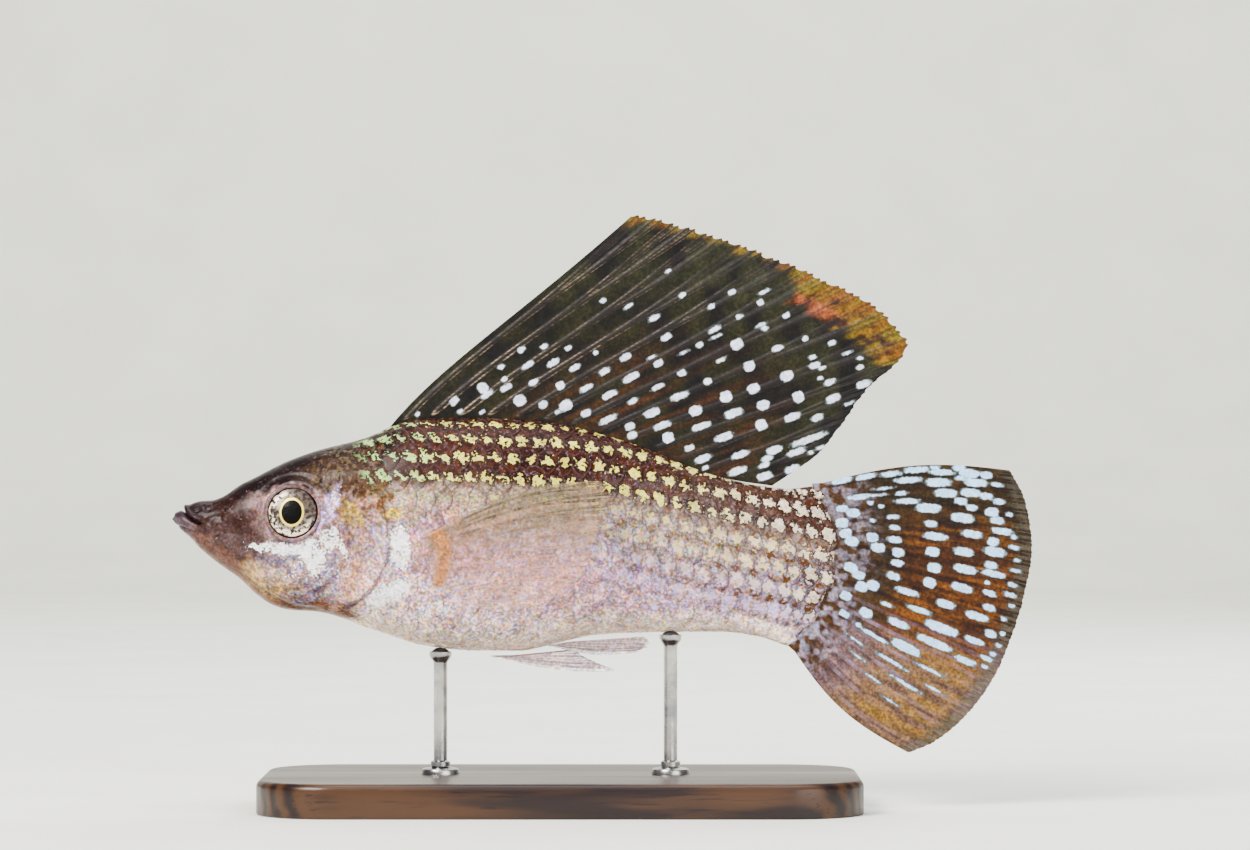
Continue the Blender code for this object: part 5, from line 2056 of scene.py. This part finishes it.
class PectoralFin(RayedFin):
    """A clear rounded fin on the side, on an orange fleshy base."""

    def __post_init__(self) -> None:
        """Lay the curves, and keep the form of the body that the fin grows from."""
        super().__post_init__()
        self.form = BodyForm()

    def bow(self, s: Array, t: Array) -> Array:
        """Bow the upper edge up and the lower edge down."""
        swell = np.sin(math.pi * np.clip(t, 0, 1))
        return np.stack([0 * s, swell * (1.5 * (1 - s) ** 3 - 0.6 * s ** 3)], axis=-1)

    def aside(self, s: Array, t: Array) -> Array:
        """Leave the skin at the root and stand off it toward the tip."""
        root = self.root_line(s)
        return -(self.form.half_width(root[..., 0], root[..., 1]) + GAP + 0.42 + 1.9 * t ** 1.3)

    def place(self, s: Array, t: Array) -> Array:
        """Places of the fin, with its wrist pulled into the body.

        Args:
            s: share of the way across the fin.
            t: share of the way out along the rays.

        Returns:
            Rows of u, y and v.
        """
        places = super().place(s, t)
        places[..., 1] += 1.5 * ease(0.02, -self.sink, t)
        return places

    def colour(self, s: Array, t: Array, places: Array) -> Array:
        """Clear membrane with a grey-brown tint, and an opaque orange base.

        Args:
            s: share of the way across the fin.
            t: share of the way out along the rays.
            places: rows of u, y and v; not used.

        Returns:
            Rows of red, green, blue and opacity.
        """
        streak = self.streaks(s, t, 40, 3)
        base = blend(tone(208, 190, 176), tone(160, 150, 118), ease(0.6, 0.1, s))
        base = blend(base, tone(214, 192, 176), np.clip(0.4 + 0.8 * streak, 0, 1) * 0.4)
        outer = 0.02 + 0.11 * np.sin(math.pi * np.clip(s * 1.25, 0, 1)) ** 0.7 + 0.006 * streak
        hook = ease(outer - 0.12, outer - 0.05, t) * ease(outer + 0.018, outer - 0.018, t)
        hook = hook * ease(0.84, 0.70, s)
        base = blend(base, tone(194, 156, 104), hook)
        opacity = 0.05 + 0.34 * ease(0.50, 0.04, s) + 0.05 * np.clip(streak, 0, 1)
        opacity = opacity * (1 - hook) + 0.75 * hook
        return with_last(base, opacity)

    def ray_colour(self, s: Array, t: Array) -> Array:
        """Pale tan lines, darker near the upper edge.

        Args:
            s: share of the way across the fin.
            t: share of the way out along the rays.

        Returns:
            Rows of red, green, blue and strength.
        """
        colours = blend(tone(190, 158, 134), tone(98, 84, 60), ease(0.6, 0.1, s))
        strength = (0.7 + 0.3 * ease(0.5, 0.1, s)) * ease(0.13, 0.20, t)
        return with_last(colours, strength)

    def ray_height(self, s: Array, t: Array) -> Array:
        """Rays that begin past the fleshy base."""
        return super().ray_height(s, t) * ease(0.12, 0.20, t)


class FinSet:
    """All fins with their sizes."""

    SAIL_SPOTS = (
        SpotGroup((1.9, 0.34), ((11.4, 0.76),)),
        SpotGroup((0.96, 0.41), (
            (5.2, 0.30), (9.6, 0.93), (5.5, 0.19), (9.8, 0.80), (7.0, 0.29), (7.2, 0.17), (8.6, 0.35),
            (10.0, 0.60), (6.6, 0.07), (8.0, 0.13), (8.7, 0.22), (9.7, 0.26), (11.3, 0.48), (11.8, 0.68),
            (10.9, 0.26), (10.4, 0.08), (12.8, 0.76), (11.7, 0.12), (12.6, 0.26)
        )),
        SpotGroup((0.70, 0.58), (
            (6.0, 0.60), (7.0, 0.54), (7.9, 0.59), (7.9, 0.47), (1.6, 0.14), (8.9, 0.60), (7.8, 0.38),
            (3.3, 0.09), (8.7, 0.46), (4.9, 0.09), (7.9, 0.26), (9.8, 0.44), (8.7, 0.09)
        )),
        SpotGroup((0.66, 0.32), (
            (3.3, 0.60), (5.0, 0.63), (4.3, 0.53), (6.8, 0.66), (4.2, 0.39), (2.6, 0.30), (2.0, 0.27),
            (7.9, 0.69), (3.4, 0.29), (4.3, 0.30), (8.7, 0.72), (2.9, 0.19), (2.3, 0.15), (6.2, 0.29),
            (4.6, 0.20), (2.0, 0.11), (6.3, 0.19), (10.5, 0.76), (9.6, 0.10), (11.6, 0.41), (11.9, 0.35)
        )),
        SpotGroup((0.53, 0.42), (
            (5.2, 0.40), (6.1, 0.39), (6.9, 0.40), (3.8, 0.19), (1.2, 0.07), (4.2, 0.08), (5.8, 0.07),
            (7.4, 0.07), (7.9, 0.03)
        )),
        SpotGroup((0.55, 0.18), (
            (5.7, 0.72), (5.3, 0.60), (7.9, 0.81), (5.3, 0.48), (4.8, 0.42), (6.3, 0.51), (10.4, 0.94),
            (12.0, 0.94), (4.6, 0.86), (2.3, 0.62)
        )),
        SpotGroup((0.42, 0.29), (
            (3.1, 0.73), (4.9, 0.81), (4.1, 0.72), (5.0, 0.72), (5.9, 0.71), (6.9, 0.75), (4.0, 0.81),
            (1.5, 0.62), (5.8, 0.80), (7.4, 0.80), (7.6, 0.71), (8.5, 0.83), (1.7, 0.37), (5.3, 0.54),
            (1.2, 0.34), (1.3, 0.25), (1.9, 0.19), (2.4, 0.38)
        )),
        SpotGroup((0.34, 0.23), (
            (8.2, 0.83), (8.1, 0.70), (8.4, 0.68), (2.6, 0.02), (1.8, 0.02), (0.3, 0.02), (10.9, 0.02),
            (12.1, 0.86), (5.0, 0.05), (3.3, 0.38), (2.0, 0.81)
        )),
    )
    FAN_SPOTS = (
        SpotGroup((1.9, 0.50), ((8.6, 0.63), (9.5, 0.63), (10.4, 0.50))),
        SpotGroup((1.25, 0.48), (
            (0.0, 0.76), (0.6, 0.57), (0.5, 0.77), (1.1, 0.72), (1.2, 0.59), (2.1, 0.48), (2.5, 0.65),
            (3.3, 0.69), (3.7, 0.50), (4.3, 0.65), (4.0, 0.81), (5.2, 0.67), (6.2, 0.67), (7.3, 0.61),
            (7.4, 0.79), (9.3, 0.40)
        )),
        SpotGroup((1.25, 0.33), (
            (1.7, 0.38), (2.9, 0.85), (5.1, 0.82), (7.3, 0.39), (8.6, 0.82), (9.7, 0.82), (-0.3, 0.10),
            (-0.2, 0.22), (-0.1, 0.35), (-0.2, 0.49), (0.4, 0.42), (0.0, 0.62), (8.1, 0.48), (1.2, 0.14)
        )),
        SpotGroup((1.6, 0.20), ((10.9, 0.68), (12.2, 0.62), (11.5, 0.48), (10.7, 0.30))),
        SpotGroup((0.9, 0.12), (
            (0.8, 0.28), (1.2, 0.22), (12.9, 0.45), (12.4, 0.30), (13.4, 0.62), (11.7, 0.76),
            (11.6, 0.24)
        )),
        SpotGroup((0.72, 0.37), (
            (-0.3, 0.72), (0.0, 0.85), (1.2, 0.80), (1.6, 0.66), (1.4, 0.86), (1.9, 0.71), (2.4, 0.83),
            (3.0, 0.48), (4.2, 0.29), (4.7, 0.80), (5.7, 0.31), (6.6, 0.30), (8.0, 0.89), (2.0, 0.04),
            (6.1, 0.82), (6.8, 0.84), (10.4, 0.10)
        )),
        SpotGroup((0.72, 0.52), (
            (2.0, 0.81), (2.4, 0.09), (4.2, 0.17), (3.5, 0.80), (4.9, 0.20), (5.0, 0.31), (4.6, 0.49),
            (5.5, 0.51), (6.4, 0.50), (9.6, 0.21), (8.0, 0.14), (7.6, 0.20), (9.1, 0.07), (3.2, 0.02)
        )),
        SpotGroup((0.75, 0.5), ((4.1, 0.03), (4.7, 0.06), (6.8, 0.06), (7.2, 0.11))),
        SpotGroup((0.62, 0.24), (
            (-0.3, 0.59), (0.3, 0.70), (0.5, 0.88), (1.2, 0.36), (2.7, 0.29), (3.4, 0.29), (3.6, 0.91),
            (4.7, 0.93), (5.4, 0.93), (5.9, 0.93), (8.5, 0.31), (9.2, 0.92)
        )),
        SpotGroup((0.36, 0.24), (
            (1.7, 0.19), (3.0, 0.18), (5.6, 0.80), (6.4, 0.95), (7.1, 0.93), (10.6, 0.20), (7.8, 0.95),
            (2.0, 0.24), (2.0, 0.90), (3.1, 0.91), (4.2, 0.93), (8.4, 0.95), (8.9, 0.94), (9.6, 0.93)
        )),
    )

    @staticmethod
    def back_line() -> tuple[Pair, ...]:
        """Points just above the ridge of the back, under the sail."""
        form = BodyForm()
        return tuple((float(u), float(form.section(u).top) + GAP) for u in np.linspace(25.8, 70.2, 12))

    @staticmethod
    def tail_line() -> tuple[Pair, ...]:
        """Points of the arc where the tail's rays begin.

        Returns:
            The arc's points.
        """
        (cu, cv), radius = BodyForm.TAIL_CENTRE, BodyForm.TAIL_RADIUS + GAP
        angles = np.radians(np.linspace(29.5, -48.5, 12))
        return tuple((cu + radius * math.cos(a), cv + radius * math.sin(a)) for a in angles)

    def sail(self) -> DorsalSail:
        """The dorsal fin.

        Returns:
            The fin with its sizes.
        """
        margin = ((53.9, 35.6), (63.4, 33.1), (73.8, 29.0), (81.1, 25.4), (84.6, 22.3), (85.9, 20.6),
                  (84.9, 18.4), (81.4, 15.3), (77.9, 10.6), (75.5, 7.6), (71.7, 4.9))
        return DorsalSail("sail", ("dorsal_fin",), "dorsal_membrane", self.back_line(), margin, 14, rows=120,
                          spots=self.SAIL_SPOTS, seed=5, fringe=0.008, ray_width=0.14)

    def fan(self) -> TailFan:
        """The tail fin.

        Returns:
            The fin with its sizes.
        """
        margin = ((98.0, 5.7), (99.8, 2.2), (100.6, -3.6), (99.5, -9.5), (98.0, -14.2), (95.9, -18.8),
                  (92.8, -22.9), (89.3, -25.9), (86.1, -27.3))
        return TailFan("fan", ("tail_fin",), "tail_membrane", self.tail_line(), margin, 16, per_ray=17,
                       spots=self.FAN_SPOTS, seed=7, sink=0.06, fringe=0.003)

    def gonopodium(self) -> PaleFin:
        """The anal fin.

        Returns:
            The fin with its sizes.
        """
        return PaleFin("gonopodium", ("anal_fin",), "pale_membrane", ((47.2, -14.3), (44.6, -14.9)),
                       ((55.2, -13.75), (55.7, -14.3), (55.3, -15.0), (54.2, -15.6)), 5, rows=60, per_ray=12,
                       membrane=0.55, ridge=0.10, sink=0.10, forks=(0.8, 0.9), seed=8, fringe=0.03)

    def pelvic(self) -> PelvicFin:
        """The left pelvic fin.

        Returns:
            The fin with its sizes.
        """
        return PelvicFin("pelvic", ("pelvic_fin_left", "pelvic_fin_right"), "pale_membrane",
                         ((40.3, -15.95), (38.5, -16.2)), ((47.0, -15.3), (48.2, -16.2), (51.6, -17.7)), 5,
                         rows=60, per_ray=12, membrane=0.36, ridge=0.10, sink=0.10, seed=9, fringe=0.02)

    def pectoral(self) -> PectoralFin:
        """The left pectoral fin.

        Returns:
            The fin with its sizes.
        """
        return PectoralFin("pectoral", ("pectoral_fin_left", "pectoral_fin_right"), "clear_membrane",
                           ((31.0, -1.2), (30.4, -4.0), (30.8, -7.0), (32.0, -9.4)),
                           ((50.1, 4.6), (50.9, 2.6), (49.4, -2.5), (47.0, -7.6), (42.6, -9.9)), 13,
                           rows=90, per_ray=14, membrane=0.14, ridge=0.07, sink=0.12, seed=10, fringe=0.012,
                           across=(-0.15, 1.0, 0.1))


# Stand

@dataclass
class DisplayStand:
    """Wooden base with two turned rods and soft cups under the belly."""

    size: tuple[float, float, float] = (70.0, 36.0, 4.0)
    centre: float = -5.0
    corner: float = 9.0
    edge: float = 0.8
    rod_radius: float = 0.8
    turns: int = 64
    foot: Pair = (2.2, 0.7)
    cup: Pair = (1.3, 1.2)
    rods: tuple[tuple[str, float], ...] = (("stand_rod_front", 31.4), ("stand_rod_rear", 58.3))

    def base(self, material: bpy.types.Material) -> bpy.types.Object:
        """Make the wooden base.

        Args:
            material: its finish.

        Returns:
            The base's object.
        """
        bm = bmesh.new()
        bmesh.ops.create_cube(bm, size=1)
        height = self.size[2] * MM
        bmesh.ops.scale(bm, vec=Vector(self.size) * MM, verts=bm.verts)
        bmesh.ops.translate(bm, vec=Vector((self.centre * MM, 0, height / 2)), verts=bm.verts)
        upright = [e for e in bm.edges if abs(e.verts[0].co.z - e.verts[1].co.z) > height / 2]
        bmesh.ops.bevel(bm, geom=upright, offset=self.corner * MM, segments=20, profile=0.5, affect="EDGES")
        top = [e for e in bm.edges if all(v.co.z > height - 1e-6 for v in e.verts)]
        bmesh.ops.bevel(bm, geom=top, offset=self.edge * MM, segments=6, profile=0.5, affect="EDGES")
        low = [e for e in bm.edges if all(v.co.z < 1e-6 for v in e.verts)]
        bmesh.ops.bevel(bm, geom=low, offset=0.25 * MM, segments=3, profile=0.5, affect="EDGES")
        mesh = bpy.data.meshes.new("plinth")
        bm.to_mesh(mesh)
        bm.free()
        mesh.shade_smooth()
        mesh.set_sharp_from_angle(angle=math.radians(30))
        plinth = place_object("plinth", mesh, material)
        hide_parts("stand_base")
        return plinth

    def turned(self, name: str, u: float, profile: Sequence[Pair],
               material: bpy.types.Material) -> bpy.types.Object:
        """Turn a profile of radius and height round an upright axis.

        Args:
            name: the object's name.
            u: where the axis stands.
            profile: radius and height of each corner, from the top down.
            material: its finish.

        Returns:
            The turned object.
        """
        radii, heights = np.array(profile).T
        angles = np.linspace(0, math.tau, self.turns, endpoint=False)
        ring = np.stack([radii[:, None] * np.cos(angles) + u, radii[:, None] * np.sin(angles),
                         heights[:, None] - SNOUT_HEIGHT + 0 * angles], axis=-1)
        piece = PieceMesh(name)
        piece.add(ring, grid_faces(len(profile), self.turns, closed=True), {})
        obj = piece.make(material, weld=True)
        obj.data.set_sharp_from_angle(angle=math.radians(35))
        return obj

    def rod(self, name: str, u: float, steel: bpy.types.Material, rubber: bpy.types.Material) -> None:
        """Make one rod on its foot, and the pad in its cup.

        Args:
            name: the solid that the rod stands for.
            u: where it stands.
            steel: finish of the rod.
            rubber: finish of the pad.
        """
        low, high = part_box(name)
        top = high.z / MM
        base = low.z / MM - GAP
        foot, tall = self.foot
        cup, deep = self.cup
        r = self.rod_radius
        profile = [(0.0, top - 0.25), (cup - 0.3, top - 0.25), (cup - 0.12, top - 0.05), (cup, top - 0.12),
                   (cup, top - 0.45 * deep), (cup - 0.15, top - 0.7 * deep), (r + 0.08, top - deep),
                   (r, top - deep - 0.2), (r, base + tall + 0.9), (r + 0.35, base + tall + 0.75),
                   (r + 0.35, base + tall + 0.25), (r + 0.2, base + tall + 0.1), (foot - 0.35, base + tall),
                   (foot - 0.08, base + tall - 0.12), (foot, base + tall - 0.3), (foot, base), (0.0, base)]
        rod = self.turned(name.replace("stand_", "display_"), u, profile, steel)
        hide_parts(name)
        profile = [(0.0, top + 0.42), (0.55, top + 0.34), (cup - 0.35, top + 0.05), (cup - 0.3, top - 0.3),
                   (0.0, top - 0.3)]
        pad = self.turned(name.replace("stand_rod", "cup_pad"), u, profile, rubber)


# Studio

@dataclass
class Studio:
    """Pale sweep, soft lights and the camera."""

    distance: float = 600.0
    centre: Pair = (2.48, 44.8)
    frame_width: float = 146.2
    sensor: float = 36.0
    sweep_back: float = 760.0
    sweep_bend: float = 240.0
    sweep_front: float = -900.0
    sweep_top: float = 1400.0
    sweep_side: float = 1500.0
    surround: tuple[float, float, float, float] = (0.86, 0.88, 0.90, 1.0)
    surround_strength: float = 0.26
    target: tuple[float, float, float] = (0.0, 0.0, 40.0)
    paper_target: tuple[float, float, float] = (0.0, 1000.0, 150.0)

    LIGHTS = (
        (Role.KEY, (-330, -420, 420), 300, 11.5, (1.0, 0.97, 0.94)),
        (Role.FILL, (340, -500, 60), 420, 4.0, (0.94, 0.97, 1.0)),
        (Role.TOP, (40, -40, 560), 380, 2.6, (1.0, 1.0, 1.0)),
        (Role.RIM, (260, 320, 330), 260, 2.4, (0.95, 0.97, 1.0)),
        (Role.PAPER, (0, 430, 720), 500, 7.0, (1.0, 1.0, 1.0)),
    )

    def sweep(self, material: bpy.types.Material) -> None:
        """Floor that bends up into a backdrop.

        Args:
            material: the paper's finish.
        """
        bend = self.sweep_bend
        profile = [(self.sweep_front, 0.0)]
        profile += [(self.sweep_back + bend * math.sin(a), bend * (1 - math.cos(a)))
                    for a in np.radians(np.linspace(0, 90, 24))]
        profile.append((self.sweep_back + bend, self.sweep_top))
        mesh = bpy.data.meshes.new("paper_sweep")
        points = [(x * MM, y * MM, z * MM) for y, z in profile for x in (-self.sweep_side, self.sweep_side)]
        quads = [(2 * i, 2 * i + 1, 2 * i + 3, 2 * i + 2) for i in range(len(profile) - 1)]
        mesh.from_pydata(points, [], quads)
        mesh.shade_smooth()
        paper = bpy.data.objects.new("paper_sweep", mesh)
        bpy.context.scene.collection.objects.link(paper)
        paper.data.materials.append(material)

    def lights(self) -> None:
        """Soft area lights and an even surround."""
        for role, place, size, power, colour in self.LIGHTS:
            target = Vector(self.paper_target if role is Role.PAPER else self.target) * MM
            light = bpy.data.lights.new(f"{role.value}_light", "AREA")
            light.energy = power
            light.size = size * MM
            light.color = colour
            lamp = bpy.data.objects.new(light.name, light)
            lamp.location = Vector(place) * MM
            lamp.rotation_euler = (target - lamp.location).to_track_quat("-Z", "Y").to_euler()
            bpy.context.scene.collection.objects.link(lamp)
        world = bpy.data.worlds.new("surround")
        world.use_nodes = True
        background = world.node_tree.nodes["Background"]
        background.inputs["Color"].default_value = self.surround
        background.inputs["Strength"].default_value = self.surround_strength
        bpy.context.scene.world = world

    def camera(self) -> None:
        """Level camera with the photograph's framing."""
        data = bpy.data.cameras.new("front_camera")
        data.sensor_width = self.sensor
        data.lens = self.sensor * self.distance / self.frame_width
        data.clip_start = 0.01
        eye = bpy.data.objects.new("front_camera", data)
        eye.location = Vector((self.centre[0], -self.distance, self.centre[1])) * MM
        eye.rotation_euler = (math.radians(90), 0, 0)
        bpy.context.scene.collection.objects.link(eye)
        bpy.context.scene.camera = eye


def main() -> None:
    """Build and dress the whole model."""
    logging.basicConfig(level=logging.INFO, format="%(message)s")
    effects = SharedEffects()
    form = BodyForm()
    markings = BodyMarkings(form)
    seat = EyeSeat(form)
    skin = Skin(form, SkinMap(form), markings, seat)
    made = [skin.build(FleshFinish("flesh_skin", rims=False).make(effects))]
    scale_finish = FleshFinish("flesh_scales", rims=True).make(effects)
    made += [ScaleCoat(skin, side).build(scale_finish) for side in Side]
    eye_finish = EyeFinish().make(effects)
    made += [Eyes(seat).build(side, eye_finish) for side in Side]

    fins = FinSet()
    dark = MembraneFinish("sail_membrane", tone(56, 48, 50), core_share=0.45, joint_share=0.7,
                          spot=tone(208, 210, 216)).make(effects)
    made.append(fins.sail().build(dark))
    rusty = MembraneFinish("fan_membrane", tone(70, 48, 30), core_share=0.0, joint_share=0.2,
                           dull=0.35, double=False, see_through=True).make(effects)
    made.append(fins.fan().build(rusty))
    pale = MembraneFinish("pale_membrane", tone(190, 168, 172), core_share=0.0, joint_share=0.3,
                          double=False, see_through=True).make(effects)
    made.append(fins.gonopodium().build(pale))
    made += [fins.pelvic().build(pale, side) for side in Side]
    clear = MembraneFinish("clear_membrane", tone(184, 150, 132), core_share=0.0, joint_share=0.25,
                           dull=0.5, double=False, see_through=True, ray_cover=0.42).make(effects)
    made += [fins.pectoral().build(clear, side) for side in Side]

    stand = DisplayStand()
    made.append(stand.base(WoodFinish().make(effects)))
    steel = SteelFinish().make(effects)
    rubber = PlainFinish("cup_rubber", tone(58, 56, 56), 0.6).make(effects)
    for name, u in stand.rods:
        stand.rod(name, u, steel, rubber)
    for piece in made:
        LOG.info("%s: %d faces", piece.name, len(piece.data.polygons))

    studio = Studio()
    studio.sweep(PlainFinish("studio_paper", tone(222, 221, 218), 0.85).make(effects))
    studio.lights()
    studio.camera()


if __name__ == "__main__":
    main()
